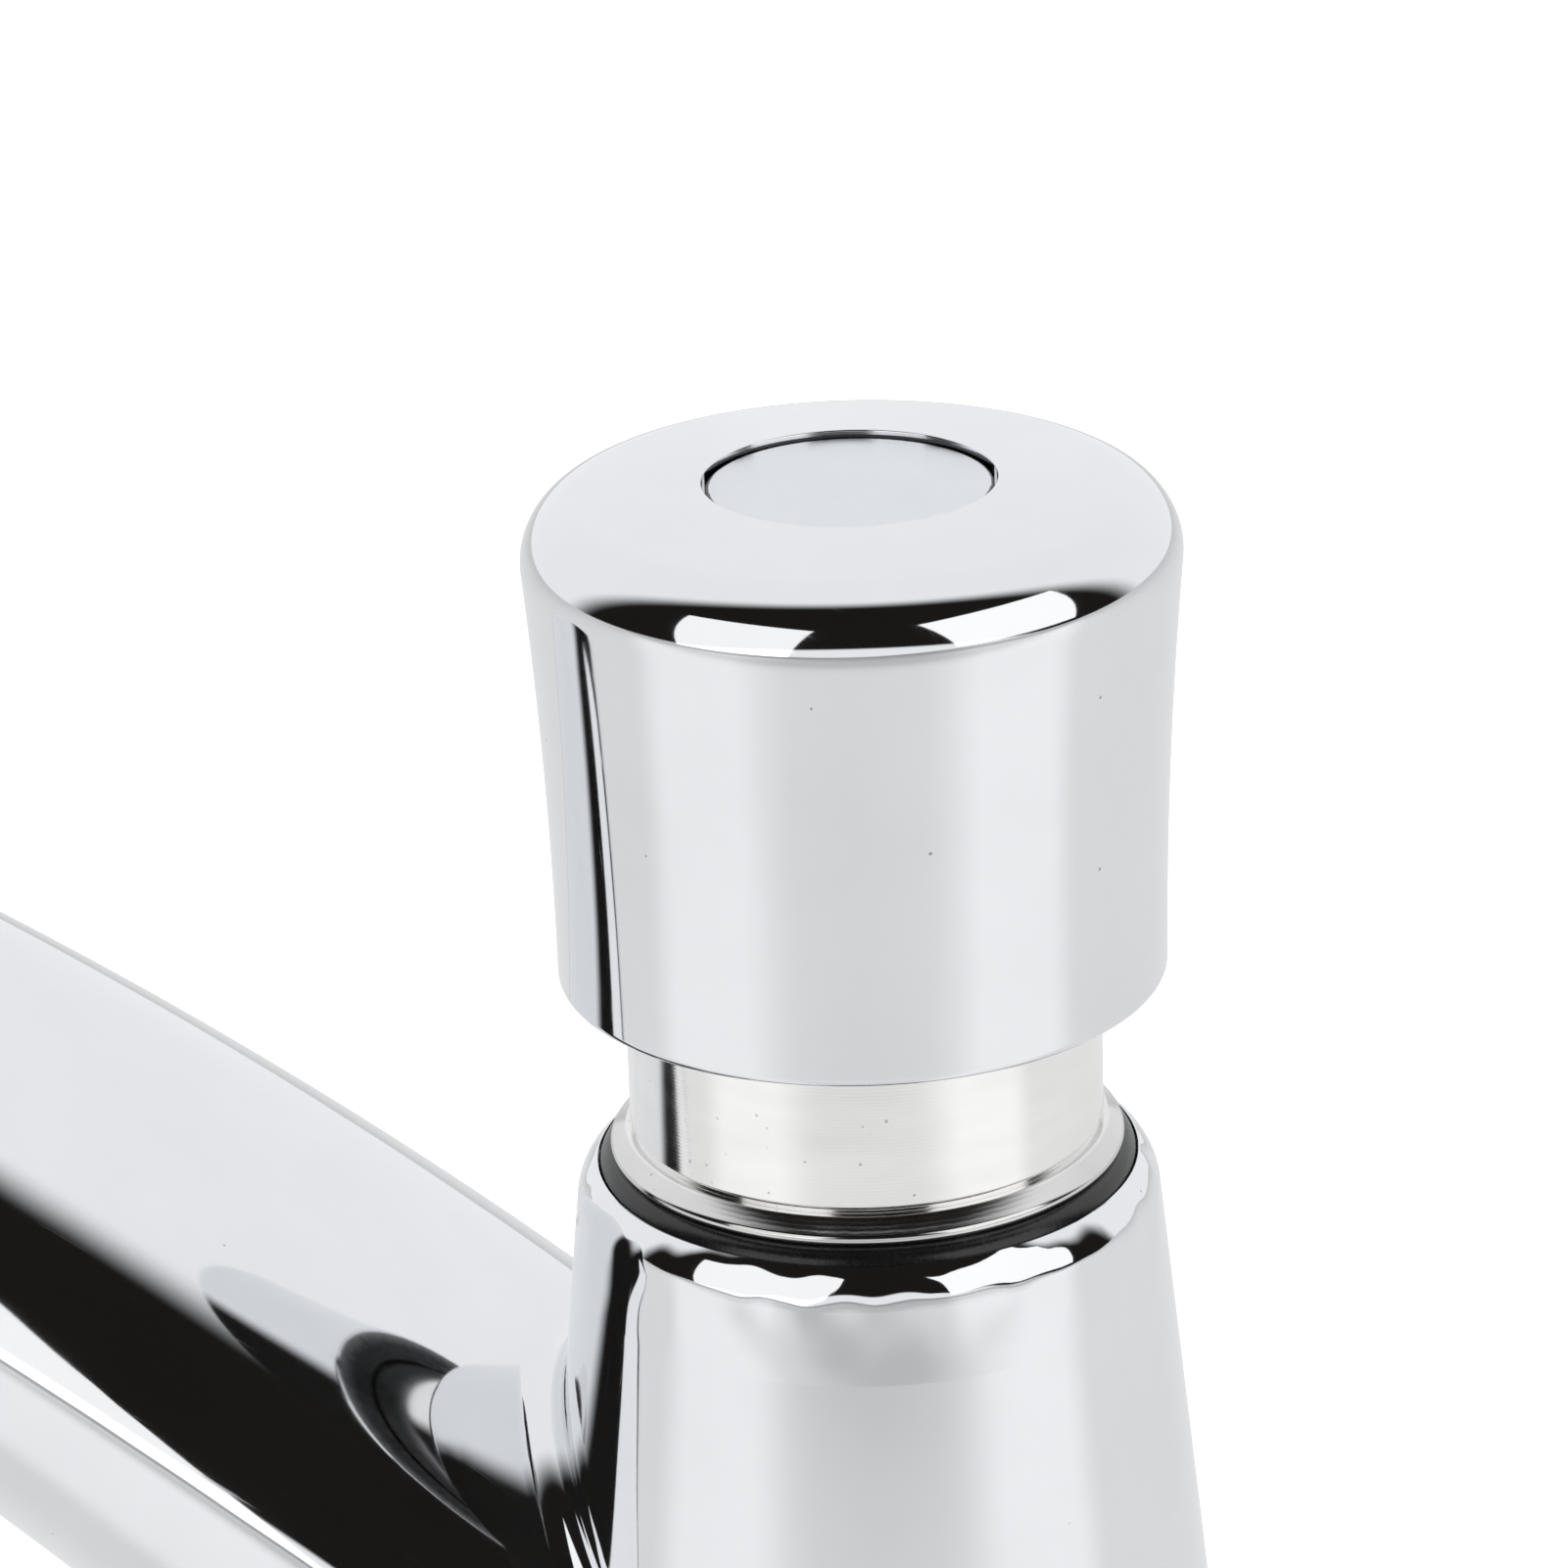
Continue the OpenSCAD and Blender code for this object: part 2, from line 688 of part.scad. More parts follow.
module clamp_gasket() {
    gasket_r = 19;
    color(RUBBER) ring(gasket_r, clamp_hole_r, clamp_gasket_z, clamp_gasket_t);
}

module clamp_washer() {
    washer_r = 18;
    color(STEEL) ring(washer_r, clamp_hole_r, clamp_washer_z, clamp_washer_t);
}

module lock_nut() {
    color(BRASS)
    difference() {
        hexagon(lock_nut_af, lock_nut_h, lock_nut_z);
        bore(shank_r + thread_gap, lock_nut_z - eps, lock_nut_h + 2 * eps);
    }
}

// Aerator, drawn with +Z along the flow
module aerator_shell() {
    flange_r = aerator_r + 0.9;
    flat_r = flange_r - 0.7;
    shell_h = aerator_depth - aerator_washer_t + aerator_ring_h;
    color(CHROME)
    at_outlet()
    difference() {
        union() {
            bore(aerator_r - thread_gap, -aerator_depth + aerator_washer_t, shell_h);
            intersection() {
                bore(flange_r, 0, aerator_ring_h);
                translate([-flat_r, -flange_r, 0]) cube([2 * flat_r, 2 * flange_r, aerator_ring_h]);
            }
        }
        bore(aerator_bore_r, -aerator_depth, aerator_depth + aerator_ring_h - aerator_lip);
        bore(aerator_bore_r - aerator_lip, 0, aerator_ring_h + eps);
    }
}

module aerator_insert() {
    insert_r = aerator_bore_r - thread_gap;
    skirt = 1.2;
    insert_top = -aerator_depth + aerator_washer_t;
    insert_h = aerator_ring_h - aerator_lip - insert_top;
    grid = 2.4;
    hole_r = 0.8;
    rings = 3;
    face_t = 2;
    color(PLASTIC)
    at_outlet()
    difference() {
        bore(insert_r, insert_top, insert_h);
        bore(insert_r - skirt, insert_top - eps, insert_h - face_t + eps);
        for (i = [-rings:rings], j = [-rings:rings])
            if (abs(i + j) <= rings)
                translate([grid * (i + j / 2), grid * j * sin(60), 0])
                    bore(hole_r, 0, aerator_ring_h);
    }
}

module aerator_washer() {
    hole_r = aerator_bore_r - 0.8;
    color(RUBBER)
    at_outlet() ring(aerator_r - 2 * seal_gap, hole_r, -aerator_depth, aerator_washer_t);
}

// Pieces that move with the push cap

// Outside of the cap: lower edge, flared side, round shoulder and sloped top
module cap_outside() {
    edge_r = 0.6;
    flare_steps = 12;
    shoulder_r = cap_top_r - cap_corner_r;
    slope_run = shoulder_r + cap_corner_r * sin(cap_dome) - recess_r;
    shoulder_h = cap_h - cap_corner_r * cos(cap_dome) - slope_run * tan(cap_dome);
    flare_lean = atan(2 * (cap_top_r - cap_bottom_r) / shoulder_h);
    flare_h = shoulder_h - cap_corner_r * sin(flare_lean);
    flare = shoulder_r + cap_corner_r * cos(flare_lean) - cap_bottom_r;
    translate([0, 0, cap_z])
    rotate_extrude()
    polygon(concat(
        [[0, 0]],
        arc([cap_bottom_r - edge_r, edge_r], edge_r, -90, 0, 5),
        [for (i = [1:flare_steps - 1])
            let (h = edge_r + (flare_h - edge_r) * i / flare_steps)
            [cap_bottom_r + flare * pow(h / flare_h, 2), h]],
        arc([shoulder_r, shoulder_h], cap_corner_r, -flare_lean, 90 - cap_dome, 12),
        [[recess_r, cap_h], [0, cap_h]]
    ));
}

module push_cap() {
    skirt_r = cap_bottom_r - 2.5;
    guide_h = 4.5;
    hub_h = 8;
    color(CHROME)
    difference() {
        cap_outside();
        difference() {
            union() {
                bore(guide_r, cap_z - eps, guide_h + 2 * eps);
                bore(skirt_r, cap_z + guide_h, roof_z - cap_z - guide_h);
            }
            bore(hub_r, roof_z - hub_h, hub_h + eps);
        }
        bore(stem_r + thread_gap, roof_z - hub_h - eps, hub_h + eps);
        bore(screw_r + 0.15, roof_z - eps, roof_t);
        bore(screw_r + 2.2, pocket_z, head_pocket + eps);
        bore(recess_r, disc_z, cap_top_z - disc_z + eps);
    }
}

module cap_disc() {
    color(SILVER) bore(disc_d / 2, disc_z, disc_t);
}

module cap_screw() {
    head_r = 3.6;
    head_h = 2.4;
    socket_af = 2.5;
    color(STEEL)
    difference() {
        union() {
            bore(screw_r, roof_z - screw_depth, pocket_z - roof_z + screw_depth + eps);
            bore(head_r, pocket_z, head_h);
        }
        translate([0, 0, pocket_z + head_h - 1.5]) cylinder(d = socket_af / cos(30), h = 2, $fn = 6);
    }
}

module push_stem() {
    collar_bottom_z = piston_z - stem_collar_h;
    color(BRASS)
    difference() {
        union() {
            bore(stem_tip_r, stem_tip_z, valve_washer_z - stem_tip_z + eps);
            bore(stem_low_r, valve_washer_z, collar_bottom_z - valve_washer_z + eps);
            bore(stem_collar_r, collar_bottom_z, stem_collar_h);
            bore(stem_r, piston_z - eps, stem_top_z - piston_z + eps);
        }
        bore(screw_r + thread_gap, stem_top_z - screw_depth - 1, screw_depth + 1 + eps);
        ring(stem_r + eps, stem_r - clip_groove, piston_top_z, clip_t);
    }
}

module delay_piston() {
    color(PLASTIC)
    difference() {
        bore(piston_r, piston_z, piston_t);
        bore(stem_r + thread_gap, piston_z - eps, piston_t + 2 * eps);
        ring(piston_r + eps, piston_r - seal_groove_depth, piston_z + seal_groove_lift, seal_groove_h);
        translate([jet_at, 0, 0]) bore(jet_r + thread_gap, piston_z - eps, piston_t + 2 * eps);
    }
}

// Lip seal in the piston's groove, open towards the timing chamber above it
module cup_seal() {
    seat_gap = 0.05;
    inner_r = piston_r - seal_groove_depth + seat_gap;
    outer_r = cylinder_r - seal_gap;
    heel_r = piston_r - 0.2;
    valley_r = piston_r - 0.9;
    cup_h = seal_groove_h - 4 * seat_gap;
    lip_h = cup_h - 0.1;
    color(RUBBER)
    translate([0, 0, piston_z + seal_groove_lift + seat_gap])
    rotate_extrude()
    polygon([
        [inner_r, 0], [heel_r, 0], [outer_r, lip_h - 0.8], [outer_r, lip_h],
        [outer_r - 0.5, lip_h - 0.2], [valley_r, 0.9], [inner_r + 0.4, cup_h], [inner_r, cup_h]
    ]);
}

// Jet in the piston, beside the stem
module timing_jet() {
    orifice_r = 0.3;
    head_h = 0.8;
    color(BRASS)
    translate([jet_at, 0, 0])
    difference() {
        union() {
            bore(jet_r, piston_z, piston_t + eps);
            bore(jet_head_r, piston_top_z, head_h);
        }
        bore(orifice_r, piston_z - eps, piston_t + head_h + 2 * eps);
    }
}

module piston_clip() {
    slot_w = 2;
    color(STEEL)
    difference() {
        ring(clip_r, stem_r - clip_groove + thread_gap, piston_top_z, clip_t);
        translate([-clip_r - eps, -slot_w / 2, piston_top_z - eps]) cube([clip_r, slot_w, clip_t + 2 * eps]);
    }
}

module valve_poppet() {
    color(BRASS) ring(poppet_r, stem_tip_r + thread_gap, poppet_z, poppet_t);
}

module valve_washer() {
    color(RUBBER) ring(valve_r, stem_low_r + seal_gap, valve_washer_z, valve_washer_t);
}

module poppet_nut() {
    color(STEEL)
    difference() {
        hexagon(poppet_nut_af, poppet_nut_h, poppet_z - poppet_nut_h);
        bore(stem_tip_r + thread_gap, poppet_z - poppet_nut_h - eps, poppet_nut_h + 2 * eps);
    }
}

tap_body();
guide_sleeve();
rim_seal();
cartridge_barrel();
barrel_o_ring();
seat_ring();
stem_o_ring();
stem_seal_washer();
return_spring();
inlet_shank();
shank_seal();
inlet_strainer();
base_gasket();
clamp_gasket();
clamp_washer();
lock_nut();
aerator_shell();
aerator_insert();
aerator_washer();
push_cap();
cap_disc();
cap_screw();
push_stem();
delay_piston();
cup_seal();
timing_jet();
piston_clip();
valve_poppet();
valve_washer();
poppet_nut();
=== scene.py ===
"""Looks of the push timed tap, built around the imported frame: smooth bodies, finishes, light and camera.

Sizes are in millimetres, as in the part's source, and turn into metres where a mesh is made.
"""
import json
import math

import bpy
import numpy as np
from mathutils import Matrix, Vector, geometry

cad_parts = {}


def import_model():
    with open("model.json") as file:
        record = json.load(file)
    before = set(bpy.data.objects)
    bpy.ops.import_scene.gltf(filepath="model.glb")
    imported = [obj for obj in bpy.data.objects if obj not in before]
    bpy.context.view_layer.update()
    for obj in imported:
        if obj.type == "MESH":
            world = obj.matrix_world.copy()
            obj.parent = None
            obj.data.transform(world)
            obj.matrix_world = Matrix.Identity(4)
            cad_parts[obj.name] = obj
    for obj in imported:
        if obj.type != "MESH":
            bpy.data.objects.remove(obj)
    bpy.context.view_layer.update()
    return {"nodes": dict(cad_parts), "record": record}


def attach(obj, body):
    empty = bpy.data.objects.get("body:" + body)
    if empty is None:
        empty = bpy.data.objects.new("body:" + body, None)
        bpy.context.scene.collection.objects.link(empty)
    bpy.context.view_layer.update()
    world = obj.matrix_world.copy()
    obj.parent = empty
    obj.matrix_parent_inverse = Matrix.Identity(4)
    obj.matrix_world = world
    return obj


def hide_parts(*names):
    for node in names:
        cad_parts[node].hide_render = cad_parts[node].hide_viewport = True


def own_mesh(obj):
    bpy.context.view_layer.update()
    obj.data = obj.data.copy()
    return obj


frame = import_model()

MM = 0.001

# Body casting and the bores on its axis
RIM_Z = 72
FOOT_Z = 2
FOOT_R = 24.8
RIM_R = 17.7
WALL = 3
RIM_ROUND = 3.6
FOOT_EDGE = 0.5
SEAL_BORE_R = 16.6
SEAL_SEAT_Z = 70.3
SLEEVE_BORE_R = 15.0
SHOULDER_Z = 58
BARREL_BORE_R = 12.5
CHAMBER_TOP_Z = SHOULDER_Z - WALL
MOAT_Z = 16
BOSS_R = 13.4
BOSS_TOP_Z = 30.2
NOSE_BORE_R = 9.5
LEDGE_Z = 24
INLET_R = 8.2
INLET_Z = 11
SOCKET_R = 10.53
FOOT_HOLLOW_Z = 12

# Spout: a long rising arc, a tighter bend down and a straight end, with half heights and half widths
SPOUT_Z = 17.4
CLIMB = math.radians(44)
ARC_R = 285
ARC_LEN = 90
BEND_R = 24
OUTLET_LEAN = math.radians(10)
ROOT_H = 17.85
ROOT_W = 20.2
BELLY_W = 21.2
BELLY_S = ARC_LEN / 2
TOP_FLAT = 0.43
TIP_R = 13.5
FILLET = 2.2
AERATOR_R = 12
AERATOR_DEPTH = 8
BEND_CLIMB = CLIMB - ARC_LEN / ARC_R
OUTLET_CLIMB = OUTLET_LEAN - math.pi / 2
TAPER_LEN = ARC_LEN + BEND_R * (BEND_CLIMB - OUTLET_CLIMB)
SPOUT_LEN = TAPER_LEN + AERATOR_DEPTH + 1
BELLY_SLOPE = (BELLY_W - ROOT_W) / BELLY_S
WIDTH_CURVE = ((TIP_R - ROOT_W) / TAPER_LEN - BELLY_SLOPE) / (TAPER_LEN - BELLY_S)

# Guide sleeve, its collar and the rim seal
FLANGE_Z = 61
SLEEVE_FLOOR_Z = 66
COLLAR_Z = 72.8
NECK_Z = 74.6
UNDERCUT_Z = SEAL_SEAT_Z - 0.6
SLEEVE_TOP_Z = 93
NECK_R = 14.5
NECK_BORE_R = 12.6
COLLAR_R = 15.75
SLEEVE_THREAD_R = 14.9
UNDERCUT_R = 14.0
SEAL_RING_R = 15.3
SEAL_CORD = 2.5
STEM_R = 3
STEM_HOLE_R = STEM_R + 0.05
STEM_POCKET_R = 5.2
STEM_POCKET_Z = 63

# Push cap and its disc
CAP_Z = 84.3
CAP_H = 31.25
CAP_BORE_R = 16
CAP_GUIDE_R = NECK_R + 0.2
CAP_GUIDE_H = 4.5
CAP_BOTTOM_R = 18.5
CAP_TOP_R = 19.65
CAP_CORNER = 4
CAP_DOME = math.radians(5)
CAP_EDGE = 0.6
RECESS_R = 8.75
DISC_R = 8.55
DISC_Z = 113.9
DISC_T = 1.2
ROOF_Z = 107.9
POCKET_Z = 110.7
SCREW_HEAD_R = 4.2
SCREW_R = 2.15
HUB_R = 5.2
HUB_H = 8

# Under the deck
SHANK_R = 10.4775
SHANK_BORE_R = 7
SHANK_TOP_Z = 9.5
SHANK_END_Z = -52
RELIEF_LOW_Z = -37
RELIEF_TOP_Z = -35
THREAD_PITCH = 1.814
THREAD_DEPTH = 1.0
DECK_T = 20
BASE_GASKET_R = FOOT_R - 0.4
CLAMP_HOLE_R = SHANK_R + 0.4
CLAMP_GASKET_R = 19
CLAMP_GASKET_Z = -DECK_T - 3
CLAMP_WASHER_R = 18
CLAMP_WASHER_Z = CLAMP_GASKET_Z - 1.5
NUT_Z = CLAMP_WASHER_Z - 9
NUT_HALF_AF = 15
GASKET_EDGE = 0.5
WASHER_EDGE = 0.25


# Meshes

class Shell:
    """Faces of one closed body. Points are welded by place, and each corner keeps a normal."""

    def __init__(self):
        self.points = []
        self.places = {}
        self.faces = []
        self.normals = []

    def point(self, place):
        key = tuple(round(float(c), 5) for c in place)
        if key not in self.places:
            self.places[key] = len(self.points)
            self.points.append([float(c) * MM for c in place])
        return self.places[key]

    def face(self, corners):
        """Adds a face from (place, normal) corners. Corners that fall together are merged."""
        ring = []
        for place, normal in corners:
            index = self.point(place)
            if all(index != other for other, _ in ring):
                ring.append((index, normal))
        if len(ring) > 2:
            self.faces.append([index for index, _ in ring])
            self.normals.extend(normal for _, normal in ring)

    def grid(self, places, normals):
        """Adds the faces between rows of places, where each row runs round and closes on itself."""
        count = len(places[0])
        for row in range(len(places) - 1):
            for j in range(count):
                k = (j + 1) % count
                corners = [(row, j), (row, k), (row + 1, k), (row + 1, j)]
                self.face([(places[a][b], normals[a][b]) for a, b in corners])

    def fan(self, ring, hub, normal):
        """Closes a row of places with triangles to one hub."""
        for j in range(len(ring)):
            k = (j + 1) % len(ring)
            self.face([(ring[j], normal), (ring[k], normal), (hub, normal)])

    def build(self, name, exact=True):
        """Makes the object, with the normals kept at the corners or with its steeper edges sharp."""
        sharp_from = math.radians(35)
        mesh = bpy.data.meshes.new(name)
        mesh.from_pydata(self.points, [], self.faces)
        mesh.polygons.foreach_set("use_smooth", [True] * len(mesh.polygons))
        if exact:
            mesh.normals_split_custom_set([Vector(n).normalized() for n in self.normals])
        else:
            mesh.set_sharp_from_angle(angle=sharp_from)
        mesh.update()
        piece = bpy.data.objects.new(name, mesh)
        bpy.context.scene.collection.objects.link(piece)
        return piece


def rounded(corners, closed=True, steps=6):
    """Pieces of a profile run with the solid on its left, as (start, end, start normal, end normal).

    A corner is (r, z, radius): 0 keeps it sharp, None makes it one point of a smooth curve.
    """
    count = len(corners)
    spots = []
    for i, (r, z, radius) in enumerate(corners):
        here = np.array([r, z], float)
        if not closed and i in (0, count - 1):
            spots.append((here, None))
            continue
        before = here - np.array(corners[i - 1][:2], float)
        after = np.array(corners[(i + 1) % count][:2], float) - here
        before /= np.linalg.norm(before)
        after /= np.linalg.norm(after)
        start = math.atan2(-before[0], before[1])
        turn = math.atan2(before[0] * after[1] - before[1] * after[0], before @ after)
        if radius == 0:
            spots.append((here, None))
        elif radius is None:
            spots.append((here, np.array([math.cos(start + turn / 2), math.sin(start + turn / 2)])))
        else:
            reach = radius * math.tan(abs(turn) / 2)
            side = math.copysign(radius, turn)
            first = np.array([math.cos(start), math.sin(start)])
            centre = here - before * reach - side * first
            for k in range(steps + 1):
                way = start + turn * k / steps
                normal = np.array([math.cos(way), math.sin(way)])
                spots.append((centre + side * normal, normal))
    pieces = []
    for i in range(len(spots) if closed else len(spots) - 1):
        start, start_normal = spots[i]
        end, end_normal = spots[(i + 1) % len(spots)]
        run = end - start
        length = np.linalg.norm(run)
        if length < 1e-6:
            continue
        flat = np.array([run[1], -run[0]]) / length
        pieces.append((
            start, end,
            flat if start_normal is None else start_normal,
            flat if end_normal is None else end_normal,
        ))
    return pieces


def lathe(shell, pieces, angles):
    """Turns the pieces of a profile about Z, with one column at each angle."""
    ways = [np.array([math.cos(a), math.sin(a)]) for a in angles]

    def turned(pair, way):
        return np.array([pair[0] * way[0], pair[0] * way[1], pair[1]])

    for start, end, start_normal, end_normal in pieces:
        places = [[turned(p, way) for way in ways] for p in (start, end)]
        normals = [[turned(n, way) for way in ways] for n in (start_normal, end_normal)]
        shell.grid(places, normals)


def even_angles(count):
    return [2 * math.pi * i / count for i in range(count)]


def turned_piece(name, corners, sides=160, steps=6):
    """A piece turned about the body's axis from one closed profile."""
    shell = Shell()
    lathe(shell, rounded(corners, steps=steps), even_angles(sides))
    return shell.build(name)


def swept_piece(name, rings, angles, place=None):
    """A ring-shaped piece whose closed section changes with the angle.

    Each ring is one point of the section and gives its (r, z) for an angle.
    """
    rows = []
    for ring in rings + rings[:1]:
        row = []
        for a in angles:
            r, z = ring(a)
            spot = Vector((r * math.cos(a), r * math.sin(a), z))
            row.append(place @ spot if place else spot)
        rows.append(row)
    shell = Shell()
    blank = [[(0, 0, 1)] * len(angles)] * len(rows)
    shell.grid(rows, blank)
    return shell.build(name, exact=False)


# Body and spout in one skin

def cone_r(z):
    """Radius of the cone's face at a height."""
    return FOOT_R + (RIM_R - FOOT_R) * (z - FOOT_Z) / (RIM_Z - FOOT_Z)


CONE_LEAN = math.atan((FOOT_R - RIM_R) / (RIM_Z - FOOT_Z))


def cone_way(place):
    """Way out of the cone's face at a place beside it."""
    q = math.hypot(place[0], place[1])
    lean = math.cos(CONE_LEAN) / q
    return np.array([place[0] * lean, place[1] * lean, math.sin(CONE_LEAN)])


def cone_gap(place):
    """Distance of a place from the cone's face, positive outside."""
    return (math.hypot(place[0], place[1]) - cone_r(place[2])) * math.cos(CONE_LEAN)


def arc_step(r, start, end):
    """Step (forward, up) along an arc of radius r from one slope to another."""
    return r * np.array([math.sin(start) - math.sin(end), math.cos(end) - math.cos(start)])


def climb(s):
    """Slope of the spout's centre line, in radians above the level."""
    if s < ARC_LEN:
        return CLIMB - s / ARC_R
    return BEND_CLIMB - (min(s, TAPER_LEN) - ARC_LEN) / BEND_R


def path(s):
    """Point of the spout's centre line as (forward, up)."""
    spot = np.array([0, SPOUT_Z]) + arc_step(ARC_R, CLIMB, CLIMB - min(s, ARC_LEN) / ARC_R)
    if s > ARC_LEN:
        spot = spot + arc_step(BEND_R, BEND_CLIMB, climb(s))
    straight = max(s - TAPER_LEN, 0)
    return spot + straight * np.array([math.cos(OUTLET_CLIMB), math.sin(OUTLET_CLIMB)])


def around(s, a, r):
    """Place at an angle from the spout's top and a distance from its centre line."""
    forward, up = path(s)
    k = climb(s)
    out = r * math.cos(a)
    return np.array([r * math.sin(a), out * math.sin(k) - forward, out * math.cos(k) + up])


def skin(s, a, inset=0):
    """Place on the spout's skin, or inset from it: an oval, flatter on top, that is round at the tip."""
    length = min(s, TAPER_LEN)
    left = 1 - length / TAPER_LEN
    half_h = TIP_R + (ROOT_H - TIP_R) * left ** 2
    half_w = ROOT_W + BELLY_SLOPE * length + WIDTH_CURVE * length * (length - BELLY_S)
    flat = TOP_FLAT * left
    reach = half_h * (1 - flat if math.cos(a) > 0 else 1 + flat) - inset
    out = flat * half_h + reach * math.cos(a)
    side = (half_w - inset) * math.sin(a)
    forward, up = path(s)
    k = climb(s)
    return np.array([side, out * math.sin(k) - forward, out * math.cos(k) + up])


def skin_way(s, a):
    """Way out of the spout's skin, square to its run along and around."""
    step = 1e-4
    along = skin(s + step, a) - skin(s - step, a)
    over = skin(s, a + step) - skin(s, a - step)
    way = np.cross(along, over)
    return way / np.linalg.norm(way)


def fillet_ball(s, a):
    """Centre of the fillet's ball that touches the skin here."""
    return skin(s, a) + FILLET * skin_way(s, a)


def fillet_start(a):
    """Length along the spout at which a ball of the fillet's radius touches both spout and cone."""
    halvings = 40
    within_cone = 8
    low, high = within_cone, ARC_LEN
    for _ in range(halvings):
        middle = (low + high) / 2
        if cone_gap(fillet_ball(middle, a)) < FILLET:
            low = middle
        else:
            high = middle
    return (low + high) / 2


def between(v, w, share):
    """Unit vector a share of the way from one to another."""
    q = math.acos(max(-1, min(1, float(v @ w))))
    return (math.sin((1 - share) * q) * v + math.sin(share * q) * w) / math.sin(q)


def inside(spots, loop):
    """Tells for each flat spot whether it lies inside a closed loop."""
    x, y = spots[:, 0], spots[:, 1]
    found = np.zeros(len(spots), bool)
    for (x0, y0), (x1, y1) in zip(loop, np.roll(loop, -1, axis=0)):
        crosses = (y0 > y) != (y1 > y)
        if y0 != y1:
            found ^= crosses & (x < (x1 - x0) * (y - y0) / (y1 - y0) + x0)
    return found


def cone_patch(shell, landing, columns, low_z, high_z):
    """The cone's face, unrolled and filled with triangles around the landing of the spout's fillet."""
    unroll = cone_r((low_z + high_z) / 2)
    rows = 24
    keep_off = 0.7
    loop = np.array([[math.atan2(p[0], -p[1]) * unroll, p[2]] for p in landing])
    turns = [-math.pi + 2 * math.pi * i / columns for i in range(columns + 1)]
    heights = [low_z + (high_z - low_z) * i / rows for i in range(rows + 1)]
    lattice = np.array([[t * unroll, z] for z in heights for t in turns])
    far = np.array([np.min(np.hypot(*(loop - p).T)) > keep_off for p in lattice])
    lattice = lattice[far & ~inside(lattice, loop)]
    spots = np.concatenate([loop, lattice])
    edges = [(i, (i + 1) % len(loop)) for i in range(len(loop))]
    made = geometry.delaunay_2d_cdt([Vector(p) for p in spots], edges, [], 0, 1e-7)
    triangles, sources = made[2], made[3]
    flat = np.array([spots[source[0]] for source in sources])
    middles = np.array([flat[list(t)].mean(0) for t in triangles])
    hole = inside(middles, loop)
    places = []
    for u, z in flat:
        t = u / unroll
        places.append(np.array([cone_r(z) * math.sin(t), -cone_r(z) * math.cos(t), z]))
    for triangle, skipped in zip(triangles, hole):
        if not skipped:
            shell.face([(places[i], cone_way(places[i])) for i in triangle])


def spout_skin(shell, sides):
    """Fillet, tube, rounded end, aerator socket and hollow of the spout.

    Gives back the line on which the fillet lands on the cone.
    """
    fillet_steps = 8
    root_steps = 8
    arc_steps = 16
    bend_steps = 44
    hollow_bend_steps = 12
    hollow_arc_steps = 6
    root_run = 3
    end_edge = 0.5
    socket_edge = 0.2
    hollow_start = 44
    angles = even_angles(sides)[::-1]
    starts = [fillet_start(a) for a in angles]
    even_s = max(starts) + root_run
    places, normals = [], []
    for i in range(fillet_steps + 1):
        row, ways = [], []
        for s, a in zip(starts, angles):
            ball = fillet_ball(s, a)
            way = between(cone_way(ball), skin_way(s, a), i / fillet_steps)
            row.append(ball - FILLET * way)
            ways.append(way)
        places.append(row)
        normals.append(ways)
    landing = places[0]
    for i in range(1, root_steps + 1):
        rows = [s + (even_s - s) * i / root_steps for s in starts]
        places.append([skin(s, a) for s, a in zip(rows, angles)])
        normals.append([skin_way(s, a) for s, a in zip(rows, angles)])
    lengths = [even_s + (ARC_LEN - even_s) * i / arc_steps for i in range(1, arc_steps)]
    lengths += [ARC_LEN + (TAPER_LEN - ARC_LEN) * (i + 0.5) / bend_steps for i in range(bend_steps)]
    lengths += [TAPER_LEN, SPOUT_LEN - end_edge]
    for s in lengths:
        places.append([skin(s, a) for a in angles])
        normals.append([skin_way(s, a) for a in angles])
    shell.grid(places, normals)
    end_profile = rounded([
        (TIP_R, SPOUT_LEN - end_edge, 0), (TIP_R, SPOUT_LEN, end_edge),
        (AERATOR_R, SPOUT_LEN, socket_edge), (AERATOR_R, SPOUT_LEN - AERATOR_DEPTH, 0),
        (TIP_R - WALL, SPOUT_LEN - AERATOR_DEPTH, 0), (TIP_R - WALL, TAPER_LEN, 0),
    ], closed=False)
    along = np.array([0, -math.cos(OUTLET_CLIMB), math.sin(OUTLET_CLIMB)])
    for start, end, start_normal, end_normal in end_profile:
        rows = [[around(s, a, r) for a in angles] for r, s in (start, end)]
        ways = []
        for out, onward in (start_normal, end_normal):
            ways.append([out * skin_way(SPOUT_LEN, a) + onward * along for a in angles])
        shell.grid(rows, ways)
    hollow = []
    for i in range(hollow_bend_steps + 1):
        hollow.append(TAPER_LEN + (ARC_LEN - TAPER_LEN) * i / hollow_bend_steps)
    for i in range(1, hollow_arc_steps + 1):
        hollow.append(ARC_LEN + (hollow_start - ARC_LEN) * i / hollow_arc_steps)
    rows = [[skin(s, a, WALL) for a in angles] for s in hollow]
    ways = [[-skin_way(s, a) for a in angles] for s in hollow]
    shell.grid(rows, ways)
    k = climb(hollow_start)
    shell.fan(rows[-1], around(hollow_start, 0, 0), (0, -math.cos(k), math.sin(k)))
    return landing


